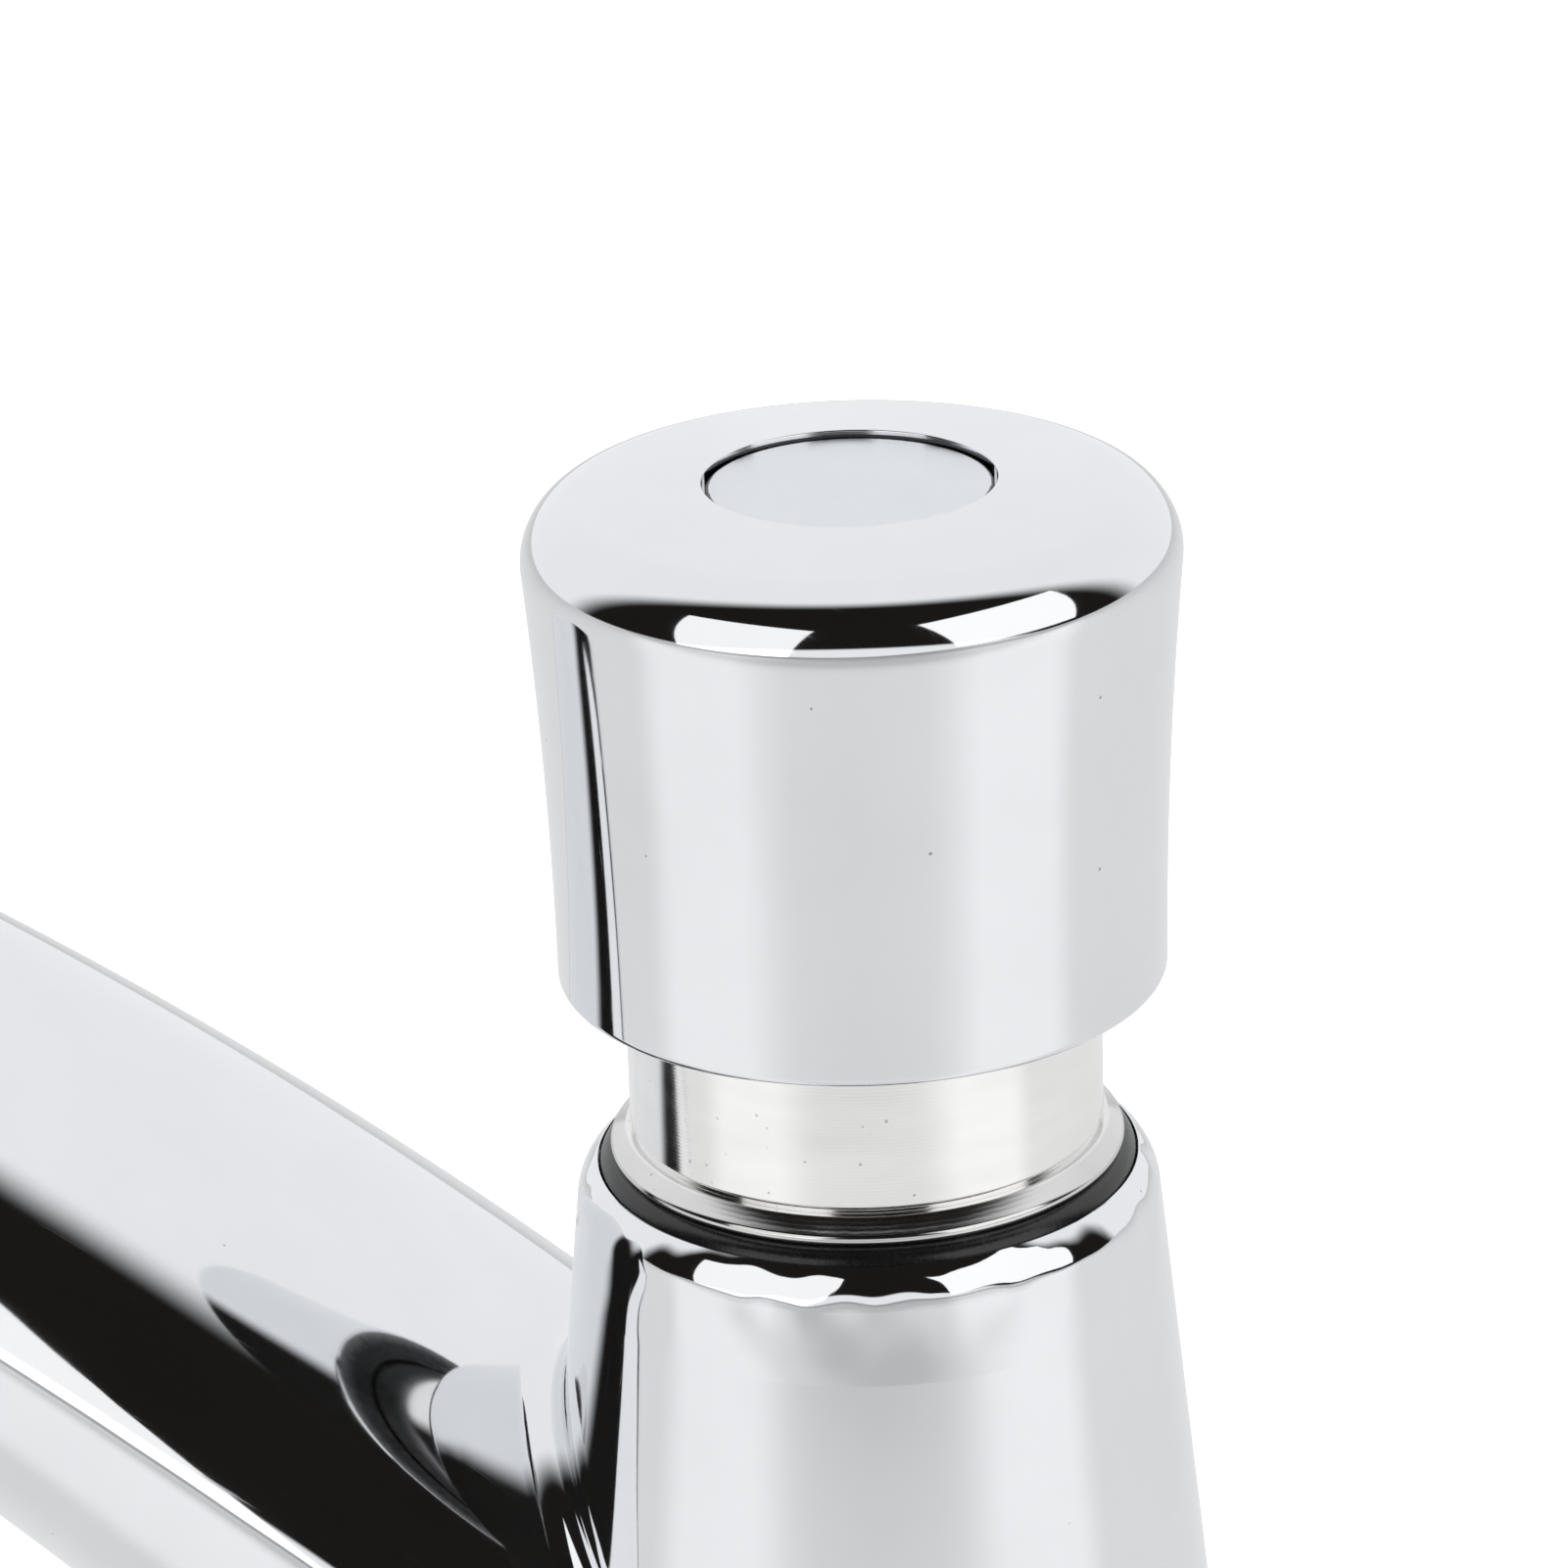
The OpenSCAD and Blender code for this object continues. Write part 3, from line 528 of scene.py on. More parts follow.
def tap_body():
    """Cast body: cone and spout flow into each other through the fillet, and the bores are turned."""
    columns = 144
    rim_steps = 16
    shell = Shell()
    landing = spout_skin(shell, sides=168)
    lip_r = SEAL_BORE_R + 0.1
    inset = (RIM_R - lip_r) * math.cos(CONE_LEAN)
    fall = math.sqrt(2 * inset * RIM_ROUND - inset ** 2) - (RIM_R - lip_r) * math.sin(CONE_LEAN)
    foot_cut = FOOT_EDGE * math.tan((math.pi / 2 + CONE_LEAN) / 2)
    low_z = FOOT_Z + foot_cut * math.cos(CONE_LEAN)
    high_z = RIM_Z - fall * math.cos(CONE_LEAN)
    centre_r = cone_r(high_z) - RIM_ROUND * math.cos(CONE_LEAN)
    centre_z = high_z - RIM_ROUND * math.sin(CONE_LEAN)
    last = math.atan2(RIM_Z - centre_z, lip_r - centre_r)
    rim = []
    for i in range(1, rim_steps):
        a = CONE_LEAN + (last - CONE_LEAN) * i / rim_steps
        rim.append((centre_r + RIM_ROUND * math.cos(a), centre_z + RIM_ROUND * math.sin(a), None))
    cone_patch(shell, landing, columns, low_z, high_z)
    profile = rounded([
        (cone_r(high_z), high_z, 0), *rim, (lip_r, RIM_Z, 0), (SEAL_BORE_R, RIM_Z, 0),
        (SEAL_BORE_R, SEAL_SEAT_Z, 0), (SLEEVE_BORE_R, SEAL_SEAT_Z, 0.2), (SLEEVE_BORE_R, SHOULDER_Z, 0),
        (BARREL_BORE_R, SHOULDER_Z, 0.3), (BARREL_BORE_R, CHAMBER_TOP_Z, 0),
        (cone_r(CHAMBER_TOP_Z) - WALL, CHAMBER_TOP_Z, 0), (cone_r(MOAT_Z) - WALL, MOAT_Z, 0),
        (BOSS_R, MOAT_Z, 0), (BOSS_R, BOSS_TOP_Z, 0), (NOSE_BORE_R, BOSS_TOP_Z, 0.3),
        (NOSE_BORE_R, LEDGE_Z, 0), (INLET_R, LEDGE_Z, 0), (INLET_R, INLET_Z, 0), (SOCKET_R, INLET_Z, 0),
        (SOCKET_R, FOOT_Z, 0.4), (BOSS_R, FOOT_Z, 0), (BOSS_R, FOOT_HOLLOW_Z, 0),
        (cone_r(FOOT_HOLLOW_Z) - WALL, FOOT_HOLLOW_Z, 0), (FOOT_R - WALL, FOOT_Z, 0),
        (cone_r(FOOT_Z), FOOT_Z, FOOT_EDGE), (cone_r(low_z), low_z, 0),
    ], closed=False, steps=8)
    lathe(shell, profile, [2 * math.pi * (i / columns - 0.75) for i in range(columns)])
    return shell.build("cast_body_and_spout")


# Turned pieces

def guide_sleeve():
    """Sleeve with a thread, a beaded collar, a fine groove and the neck that the cap slides on."""
    groove = 0.25
    groove_r = NECK_R - groove
    bead_r = 0.42
    bead_turn = 150
    bead_steps = 16
    bead = []
    for i in range(bead_steps + 1):
        a = math.radians(bead_turn * i / bead_steps - 90)
        r = COLLAR_R + bead_r * (math.cos(a) - 1)
        bead.append((r, COLLAR_Z + bead_r * (math.sin(a) + 1), None))
    return turned_piece("guide_sleeve_turned", [
        (STEM_HOLE_R, FLANGE_Z, 0.1), (SLEEVE_THREAD_R, FLANGE_Z, 0.5),
        (SLEEVE_THREAD_R, UNDERCUT_Z, 0.3),
        (UNDERCUT_R, UNDERCUT_Z, 0), (UNDERCUT_R, COLLAR_Z, 0), *bead,
        (NECK_R + groove, NECK_Z - groove, 0.1), (groove_r, NECK_Z - groove, 0.05),
        (groove_r, NECK_Z, 0.05), (NECK_R, NECK_Z + groove, 0.12),
        (NECK_R, SLEEVE_TOP_Z, 0.5), (NECK_BORE_R, SLEEVE_TOP_Z, 0.3),
        (NECK_BORE_R, SLEEVE_FLOOR_Z, 0.3),
        (STEM_POCKET_R, SLEEVE_FLOOR_Z, 0.2), (STEM_POCKET_R, STEM_POCKET_Z, 0),
        (STEM_HOLE_R, STEM_POCKET_Z, 0.1),
    ], sides=192)


def ring_of_cord(name, ring_r, cord, middle_z, count=40):
    """A ring of round section."""
    corners = []
    for i in range(count):
        a = 2 * math.pi * i / count
        corners.append((ring_r + cord / 2 * math.cos(a), middle_z + cord / 2 * math.sin(a), None))
    return turned_piece(name, corners, sides=192)


def flat_ring(name, outer, inner, low_z, high_z, edge):
    """A washer or gasket with its edges rounded."""
    return turned_piece(name, [
        (inner, low_z, edge), (outer, low_z, edge), (outer, high_z, edge), (inner, high_z, edge),
    ])


def push_cap():
    """Push button: flared side, round shoulder, sloped top with the disc's recess, and the inside."""
    flare_steps = 48
    shoulder_steps = 36
    first_h = CAP_EDGE + 0.4
    hub_z = ROOF_Z - HUB_H
    guide_z = CAP_Z + CAP_GUIDE_H
    shoulder_r = CAP_TOP_R - CAP_CORNER
    slope_run = shoulder_r + CAP_CORNER * math.sin(CAP_DOME) - RECESS_R
    shoulder_h = CAP_H - CAP_CORNER * math.cos(CAP_DOME) - slope_run * math.tan(CAP_DOME)
    lean = math.atan(2 * (CAP_TOP_R - CAP_BOTTOM_R) / shoulder_h)
    flare_h = shoulder_h - CAP_CORNER * math.sin(lean)
    flare = shoulder_r + CAP_CORNER * math.cos(lean) - CAP_BOTTOM_R
    corners = [(CAP_GUIDE_R, CAP_Z, 0.3), (CAP_BOTTOM_R, CAP_Z, CAP_EDGE)]
    for i in range(1, flare_steps):
        h = first_h + (flare_h - first_h) * i / flare_steps
        corners.append((CAP_BOTTOM_R + flare * (h / flare_h) ** 2, CAP_Z + h, None))
    for i in range(shoulder_steps + 1):
        a = -lean + (math.pi / 2 - CAP_DOME + lean) * i / shoulder_steps
        h = shoulder_h + CAP_CORNER * math.sin(a)
        corners.append((shoulder_r + CAP_CORNER * math.cos(a), CAP_Z + h, None))
    corners += [
        (RECESS_R, CAP_Z + CAP_H, 0.12), (RECESS_R, DISC_Z, 0),
        (SCREW_HEAD_R, DISC_Z, 0.2), (SCREW_HEAD_R, POCKET_Z, 0),
        (SCREW_R, POCKET_Z, 0), (SCREW_R, ROOF_Z, 0),
        (STEM_HOLE_R, ROOF_Z, 0), (STEM_HOLE_R, hub_z, 0.3), (HUB_R, hub_z, 0.4), (HUB_R, ROOF_Z, 0.5),
        (CAP_BORE_R, ROOF_Z, 1), (CAP_BORE_R, guide_z, 0), (CAP_GUIDE_R, guide_z, 0.3),
    ]
    return turned_piece("push_cap_turned", corners, sides=224)


def cap_disc():
    return turned_piece("cap_disc_turned", [
        (0, DISC_Z, 0), (DISC_R, DISC_Z, 0.1), (DISC_R, DISC_Z + DISC_T, 0.18), (0, DISC_Z + DISC_T, 0),
    ], sides=160)


# Pieces with flats, threads and coils

def inlet_shank():
    """Inlet tail with its thread cut as a helix that runs out at the groove and at both ends."""
    ring_step = THREAD_PITCH / 10
    chamfer = 0.8
    bore_edge = 0.4
    run_out = 1.2
    flank_slope = 1.3
    crest = 0.15
    low_z = SHANK_END_Z + chamfer
    count = int((SHANK_TOP_Z - low_z) / ring_step)
    heights = [low_z + (SHANK_TOP_Z - low_z) * i / count for i in range(count + 1)]

    def thread_r(z, a):
        if RELIEF_LOW_Z < z < RELIEF_TOP_Z:
            return SHANK_R - THREAD_DEPTH
        ends = [abs(z - end) for end in (SHANK_TOP_Z, SHANK_END_Z, RELIEF_LOW_Z, RELIEF_TOP_Z)]
        share = min(1, min(ends) / run_out)
        phase = (z / THREAD_PITCH - a / (2 * math.pi)) % 1
        flank = min(1, max(0, flank_slope * abs(2 * phase - 1) - crest))
        return SHANK_R - THREAD_DEPTH * share * flank * flank * (3 - 2 * flank)

    rings = [lambda a, z=z: (thread_r(z, a), z) for z in heights]
    rings += [
        lambda a: (SHANK_BORE_R + bore_edge, SHANK_TOP_Z),
        lambda a: (SHANK_BORE_R, SHANK_TOP_Z - bore_edge),
        lambda a: (SHANK_BORE_R, SHANK_END_Z + bore_edge),
        lambda a: (SHANK_BORE_R + bore_edge, SHANK_END_Z),
        lambda a: (SHANK_R - chamfer, SHANK_END_Z),
    ]
    return swept_piece("inlet_shank_threaded", rings, even_angles(72))


def lock_nut():
    """Hexagon nut with its corners turned off at both faces."""
    low_z, high_z = NUT_Z, CLAMP_WASHER_Z
    bore_r = SHANK_R + 0.05
    bore_edge = 0.5
    edge_r = NUT_HALF_AF - 0.4
    cut_angle = math.radians(30)

    def side_r(a):
        return NUT_HALF_AF / math.cos((a + math.pi / 6) % (math.pi / 3) - math.pi / 6)

    def cut(a):
        return (side_r(a) - edge_r) * math.tan(cut_angle)

    rings = [
        lambda a: (bore_r + bore_edge, low_z),
        lambda a: (edge_r, low_z),
        lambda a: (side_r(a), low_z + cut(a)),
        lambda a: (side_r(a), high_z - cut(a)),
        lambda a: (edge_r, high_z),
        lambda a: (bore_r + bore_edge, high_z),
        lambda a: (bore_r, high_z - bore_edge),
        lambda a: (bore_r, low_z + bore_edge),
    ]
    return swept_piece("lock_nut_hexagon", rings, even_angles(144))


OUTLET_PLACE = (
    Matrix.Translation((0, -path(SPOUT_LEN)[0], path(SPOUT_LEN)[1]))
    @ Matrix.Rotation(math.pi - OUTLET_LEAN, 4, "X")
)


def aerator_shell():
    """Aerator ring with two flats for a spanner, drawn with +Z along the flow."""
    thread_r = AERATOR_R - 0.05
    flange_r = AERATOR_R + 0.9
    flat_r = flange_r - 0.7
    washer_t = 1.5
    top_z = washer_t - AERATOR_DEPTH
    ring_h = 3.2
    bore_r = AERATOR_R - 2
    lip = 1
    edge = 0.4
    fine_edge = 0.2
    thread_edge = 0.5
    flat_steps = 16
    curve_steps = 48
    flat_at = math.acos(flat_r / flange_r)

    def side_r(a, inset):
        return min(flange_r, flat_r / max(abs(math.cos(a)), 1e-6)) - inset

    rings = [
        lambda a: (thread_r - thread_edge, top_z),
        lambda a: (thread_r, top_z + thread_edge),
        lambda a: (thread_r, 0),
        lambda a: (side_r(a, fine_edge), 0),
        lambda a: (side_r(a, 0), fine_edge),
        lambda a: (side_r(a, 0), ring_h - edge),
        lambda a: (side_r(a, edge * 0.3), ring_h - edge * 0.3),
        lambda a: (side_r(a, edge), ring_h),
        lambda a: (bore_r - lip + fine_edge, ring_h),
        lambda a: (bore_r - lip, ring_h - fine_edge),
        lambda a: (bore_r - lip, ring_h - lip),
        lambda a: (bore_r, ring_h - lip),
        lambda a: (bore_r, top_z),
    ]
    half = [flat_at * (2 * i / flat_steps - 1) for i in range(flat_steps)]
    half += [flat_at + (math.pi - 2 * flat_at) * i / curve_steps for i in range(curve_steps)]
    return swept_piece("aerator_shell_ring", rings, half + [a + math.pi for a in half], OUTLET_PLACE)


def return_spring():
    """Coil spring with a nearly closed turn at each end."""
    turns, steps, sides = 10, 36, 14
    wire_r = 0.8
    coil_r = 7
    end_pitch = 2.2
    end_gap = 0.05
    up = np.array([0, 0, 1])
    low_z = SLEEVE_FLOOR_Z + wire_r + end_gap
    rise = ROOF_Z - SLEEVE_FLOOR_Z - 2 * (wire_r + end_gap)

    def lift(t):
        if t < 1:
            return t * end_pitch
        if t > turns - 1:
            return rise - (turns - t) * end_pitch
        return end_pitch + (t - 1) * (rise - 2 * end_pitch) / (turns - 2)

    rows = []
    bends = even_angles(sides)
    for i in range(turns * steps + 1):
        t = i / steps
        way = np.array([math.cos(2 * math.pi * t), math.sin(2 * math.pi * t), 0])
        middle = coil_r * way + (low_z + lift(t)) * up
        rows.append([middle + wire_r * (math.cos(b) * way - math.sin(b) * up) for b in bends])
    shell = Shell()
    shell.grid(rows, [[(0, 0, 1)] * sides] * len(rows))
    shell.fan(rows[0][::-1], np.mean(rows[0], axis=0), (0, 0, 1))
    shell.fan(rows[-1], np.mean(rows[-1], axis=0), (0, 0, 1))
    return shell.build("return_spring_coil", exact=False)


# Shader nodes for finishes, floor and world

def math_node(tree, kind, first, second):
    """A sum, product or the like of two values, each a socket or a plain number."""
    node = tree.nodes.new("ShaderNodeMath")
    node.operation = kind
    for socket, value in zip(node.inputs, (first, second)):
        if isinstance(value, (int, float)):
            socket.default_value = value
        else:
            tree.links.new(value, socket)
    return node.outputs[0]


def range_node(tree, value, span, to_span=(0, 1), smooth=False):
    """A value carried from one span to another and held at its ends, in a straight or a smooth step."""
    node = tree.nodes.new("ShaderNodeMapRange")
    if smooth:
        node.interpolation_type = "SMOOTHSTEP"
    for socket, number in zip(("From Min", "From Max", "To Min", "To Max"), (*span, *to_span)):
        node.inputs[socket].default_value = number
    tree.links.new(value, node.inputs["Value"])
    return node.outputs["Result"]


def vector_node(tree, kind, vector, constant=None):
    """Sockets of a vector's sum, product or the like with a constant, or of its length."""
    node = tree.nodes.new("ShaderNodeVectorMath")
    node.operation = kind
    tree.links.new(vector, node.inputs[0])
    if constant is not None:
        node.inputs[1].default_value = constant
    return node.outputs


def axis_distance(tree, place):
    """Distance of a place from the vertical axis."""
    level = vector_node(tree, "MULTIPLY", place, (1, 1, 0))["Vector"]
    return vector_node(tree, "LENGTH", level)["Value"]


def height_of(tree, place):
    """The Z of a place or a way."""
    split = tree.nodes.new("ShaderNodeSeparateXYZ")
    tree.links.new(place, split.inputs[0])
    return split.outputs["Z"]


# Finishes

class Finish:
    """A material whose colour, gloss and relief come from textures in object space, sized in mm."""

    def __init__(self, name, metallic, **constants):
        self.material = bpy.data.materials.new(name)
        self.material.use_nodes = True
        self.tree = self.material.node_tree
        self.shader = self.tree.nodes["Principled BSDF"]
        self.shader.inputs["Metallic"].default_value = metallic
        for socket, value in constants.items():
            self.shader.inputs[socket.replace("_", " ")].default_value = value
        self.place = self.tree.nodes.new("ShaderNodeTexCoord").outputs["Object"]
        self.relief = None

    def scaled(self, size):
        """Object coordinates in units of a size, which may differ along X, Y and Z."""
        mapping = self.tree.nodes.new("ShaderNodeMapping")
        sizes = size if isinstance(size, (tuple, list)) else (size, size, size)
        mapping.inputs["Scale"].default_value = [1 / (s * MM) for s in sizes]
        self.tree.links.new(self.place, mapping.inputs["Vector"])
        return mapping.outputs["Vector"]

    def noise(self, size, detail=2.0, rough=0.5, warp=0.0):
        texture = self.tree.nodes.new("ShaderNodeTexNoise")
        texture.inputs["Scale"].default_value = 1
        texture.inputs["Detail"].default_value = detail
        texture.inputs["Roughness"].default_value = rough
        texture.inputs["Distortion"].default_value = warp
        self.tree.links.new(self.scaled(size), texture.inputs["Vector"])
        return texture.outputs["Fac"]

    def spots(self, size):
        """Distance from scattered points, in units of their spacing."""
        texture = self.tree.nodes.new("ShaderNodeTexVoronoi")
        texture.inputs["Scale"].default_value = 1
        self.tree.links.new(self.scaled(size), texture.inputs["Vector"])
        return texture.outputs["Distance"]

    def height(self):
        return height_of(self.tree, self.place)

    def radius(self):
        return axis_distance(self.tree, self.place)

    def rings(self, pitch):
        """Lines left by the turning tool, a little uneven."""
        one_per_unit = 0.314
        texture = self.tree.nodes.new("ShaderNodeTexWave")
        texture.bands_direction = "Z"
        texture.inputs["Scale"].default_value = one_per_unit
        texture.inputs["Distortion"].default_value = 1.5
        texture.inputs["Detail"].default_value = 2
        self.tree.links.new(self.scaled(pitch), texture.inputs["Vector"])
        return texture.outputs["Fac"]

    def ranged(self, value, low, high, to_low=0.0, to_high=1.0):
        return range_node(self.tree, value, (low, high), (to_low, to_high))

    def joined(self, kind, first, second):
        return math_node(self.tree, kind, first, second)

    def colours(self, value, stops):
        """Base colour by a value, from stops of (value, colour)."""
        ramp = self.tree.nodes.new("ShaderNodeValToRGB")
        while len(ramp.color_ramp.elements) < len(stops):
            ramp.color_ramp.elements.new(0.5)
        for element, (place, colour) in zip(ramp.color_ramp.elements, stops):
            element.position = place
            element.color = (*colour, 1)
        self.tree.links.new(value, ramp.inputs["Fac"])
        self.tree.links.new(ramp.outputs["Color"], self.shader.inputs["Base Color"])

    def gloss(self, value):
        self.tree.links.new(value, self.shader.inputs["Roughness"])

    def bump(self, value, depth):
        """Adds relief of a depth, on top of what is there."""
        node = self.tree.nodes.new("ShaderNodeBump")
        node.inputs["Distance"].default_value = depth * MM
        self.tree.links.new(value, node.inputs["Height"])
        if self.relief:
            self.tree.links.new(self.relief, node.inputs["Normal"])
        self.relief = node.outputs["Normal"]
        self.tree.links.new(self.relief, self.shader.inputs["Normal"])


def near(colour, share):
    """A colour made darker or brighter by a factor."""
    return tuple(c * share for c in colour)


def lighter(colour, share):
    """A colour moved a share of the way to white."""
    return tuple(c + (1 - c) * share for c in colour)


def chrome(name, colour, wave_size, wave_depth, rim_depth=0):
    """Polished plating: faint waves of the metal below, smudges, fine scratches and a few pits.

    A rim depth adds the unevenness that the polishing wheel leaves round a cast rim.
    """
    finish = Finish(name, 1)
    smudge = finish.noise(14, detail=4, rough=0.6)
    pits = finish.ranged(finish.spots(5), 0.015, 0.03)
    tone = finish.joined("MULTIPLY", finish.ranged(smudge, 0.3, 0.7, 0.6, 1), pits)
    finish.colours(tone, [(0, near(colour, 0.45)), (0.55, near(colour, 0.97)), (1, near(colour, 1.02))])
    scratch = finish.ranged(finish.noise((0.12, 9, 5), detail=2, warp=0.4), 0.66, 0.74)
    finish.gloss(finish.ranged(finish.joined("ADD", smudge, scratch), 0.3, 1.7, 0.035, 0.13))
    finish.bump(finish.noise(wave_size, detail=1, rough=0.4), wave_depth)
    finish.bump(finish.noise(1.6, detail=2), wave_depth * 0.012)
    if rim_depth:
        high = finish.ranged(finish.height(), (RIM_Z - 7) * MM, (RIM_Z - 1.5) * MM)
        inward = finish.ranged(finish.radius(), (RIM_R + 1) * MM, (RIM_R + 3) * MM, 1, 0)
        lumps = finish.ranged(finish.noise((6, 6, 9), detail=1), 0, 1, -0.5, 0.5)
        finish.bump(finish.joined("MULTIPLY", lumps, finish.joined("MULTIPLY", high, inward)), rim_depth)
    return finish.material


def satin_metal(name, colour, roughness, pitch, depth, painted_shade_below=None):
    """Turned metal: fine rings from the tool, specks, an uneven tone and perhaps painted shade that
    darkens the lower end.
    """
    finish = Finish(name, 1)
    tone = finish.noise((9, 9, 2.5), detail=3)
    specks = finish.ranged(finish.spots(1.6), 0.04, 0.09)
    both = finish.joined("MULTIPLY", finish.ranged(tone, 0.25, 0.75, 0.5, 1), specks)
    if painted_shade_below:
        # Painted shade: below this height the colour darkens to about a third, on the collar band between
        # the rim and the cap.
        bright = finish.ranged(finish.height(), (painted_shade_below - 0.4) * MM, painted_shade_below * MM, 0.35, 1)
        both = finish.joined("MULTIPLY", both, bright)
    finish.colours(both, [(0, near(colour, 0.55)), (0.5, near(colour, 0.94)), (1, near(colour, 1.04))])
    finish.gloss(finish.ranged(tone, 0.3, 0.7, roughness * 0.85, roughness * 1.15))
    finish.bump(finish.rings(pitch), depth)
    finish.bump(finish.noise(0.12, detail=2), depth * 0.6)
    return finish.material


def satin_silver(name, colour):
    """Satin face with the fine straight grain of a brush, and the dark joint round its edge."""
    finish = Finish(name, 1)
    grain = finish.noise((6, 0.06, 6), detail=3, rough=0.6)
    cloud = finish.noise(5, detail=3)
    lines = finish.ranged(grain, 0.3, 0.7, 0.2, 0.7)
    tone = finish.joined("ADD", lines, finish.ranged(cloud, 0.3, 0.7, 0, 0.3))
    joint = finish.ranged(finish.radius(), (DISC_R - 0.28) * MM, (DISC_R - 0.12) * MM)
    finish.colours(finish.joined("SUBTRACT", tone, joint),
                   [(0, near(colour, 0.1)), (0.18, near(colour, 0.86)), (1, near(colour, 0.94))])
    finish.gloss(finish.ranged(grain, 0.3, 0.7, 0.3, 0.4))
    finish.bump(grain, 0.0012)
    return finish.material


def unplated_metal_painted_shade(name, colour):
    """Unplated metal inside the cap, with painted shade that makes it nearly black: dull, with a casting's
    grain, and paler where the plating ends.
    """
    finish = Finish(name, 1)
    grain = finish.noise(0.5, detail=3, rough=0.6)
    plated = finish.ranged(finish.radius(), (CAP_BOTTOM_R - 2) * MM, (CAP_BOTTOM_R - 0.6) * MM, 0, 0.6)
    # Painted shade: the colour stays near black inside the cap, and only the plating's edge is paler.
    finish.colours(finish.joined("ADD", finish.ranged(grain, 0.3, 0.7, 0, 0.4), plated),
                   [(0, near(colour, 0.03)), (0.4, near(colour, 0.09)), (1, near(colour, 0.3))])
    finish.gloss(finish.ranged(grain, 0.3, 0.7, 0.4, 0.55))
    finish.bump(grain, 0.02)
    return finish.material


def rubber(name, colour):
    """Moulded rubber: dark, with a fine grain, dust in the pores and a soft gloss."""
    finish = Finish(name, 0, IOR=1.5)
    grain = finish.noise(0.25, detail=3, rough=0.65)
    dust = finish.noise(4, detail=4, rough=0.7)
    finish.colours(dust,
                   [(0.35, near(colour, 0.12)), (0.62, near(colour, 0.2)), (0.78, near(colour, 0.6))])
    finish.gloss(finish.ranged(grain, 0.3, 0.7, 0.16, 0.3))
    finish.bump(grain, 0.008)
    return finish.material


def plastic(name, colour):
    """Moulded plastic: a little see-through at the surface, with flow marks and a fine matt grain."""
    finish = Finish(name, 0, IOR=1.49, Subsurface_Weight=0.08, Subsurface_Scale=0.002)
    flow = finish.noise((6, 6, 14), detail=3, warp=0.6)
    grain = finish.noise(0.18, detail=2)
    finish.colours(flow, [(0.3, near(colour, 0.93)), (0.7, near(colour, 1.02))])
    finish.gloss(finish.ranged(grain, 0.3, 0.7, 0.34, 0.5))
    finish.bump(grain, 0.004)
    return finish.material


def fibre(name, colour):
    """Pressed fibre: short strands in several tones."""
    finish = Finish(name, 0)
    strands = finish.noise((0.15, 1.4, 0.3), detail=3, warp=1.2)
    finish.colours(strands, [(0.3, near(colour, 0.6)), (0.5, colour), (0.7, near(colour, 1.4))])
    finish.gloss(finish.ranged(strands, 0.3, 0.7, 0.6, 0.8))
    finish.bump(strands, 0.05)
    return finish.material


COLOURS = {row["slot"]: tuple(row["base_color"]) for row in frame["record"]["materials"]}
FINISHES = {
    "chrome": chrome("chrome_turned", COLOURS["chrome"], wave_size=16, wave_depth=0.012),
    "satin_nickel": satin_metal("satin_nickel_turned", lighter(COLOURS["satin_nickel"], 0.66),
                                roughness=0.12, pitch=0.22, depth=0.0012, painted_shade_below=NECK_Z),
    "satin_silver": satin_silver("satin_silver_brushed", COLOURS["satin_silver"]),
    "brass": satin_metal("brass_turned", COLOURS["brass"], roughness=0.22, pitch=0.3, depth=0.002),
    "steel": satin_metal("steel_plain", COLOURS["steel"], roughness=0.3, pitch=0.35, depth=0.002),
    "black_rubber": rubber("rubber_moulded", COLOURS["black_rubber"]),
    "pale_plastic": plastic("plastic_moulded", COLOURS["pale_plastic"]),
    "fibre": fibre("fibre_pressed", COLOURS["fibre"]),
}
CAST_CHROME = chrome("chrome_cast", COLOURS["chrome"], wave_size=11, wave_depth=0.04, rim_depth=0.85)
UNPLATED_AND_PAINTED_SHADE = unplated_metal_painted_shade("metal_unplated_painted_shade", COLOURS["chrome"])


# Pieces on their bodies

SLOT_OF = {row["node"]: row["material_slot"] for row in frame["record"]["subparts"]}


def dress(piece, node, body, material=None):
    """Puts a piece in a node's place, with that node's finish."""
    piece.data.materials.append(material or FINISHES[SLOT_OF[node]])
    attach(piece, body)
    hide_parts(node)
    return piece


def bare_and_shaded_inside(cap):
    """Gives the cap's inside and underside the unplated finish, darkened with painted shade."""
    margin = 0.1
    downward = -0.8
    cap.data.materials.append(UNPLATED_AND_PAINTED_SHADE)
    for face in cap.data.polygons:
        within = math.hypot(face.center.x, face.center.y) < (CAP_BORE_R + margin) * MM
        if face.center.z < (ROOF_Z + margin) * MM and (within or face.normal.z < downward):
            face.material_index = 1


dress(tap_body(), "tap_body", "tap", CAST_CHROME)
dress(guide_sleeve(), "guide_sleeve", "tap")
dress(ring_of_cord("rim_seal_ring", SEAL_RING_R, SEAL_CORD, SEAL_SEAT_Z + SEAL_CORD / 2),
      "rim_seal", "tap")
dress(flat_ring("base_gasket_ring", BASE_GASKET_R, CLAMP_HOLE_R,
                0, FOOT_Z, GASKET_EDGE), "base_gasket", "tap")
dress(flat_ring("clamp_gasket_ring", CLAMP_GASKET_R, CLAMP_HOLE_R,
                CLAMP_GASKET_Z, -DECK_T, GASKET_EDGE), "clamp_gasket", "tap")
dress(flat_ring("clamp_washer_ring", CLAMP_WASHER_R, CLAMP_HOLE_R,
                CLAMP_WASHER_Z, CLAMP_GASKET_Z, WASHER_EDGE), "clamp_washer", "tap")
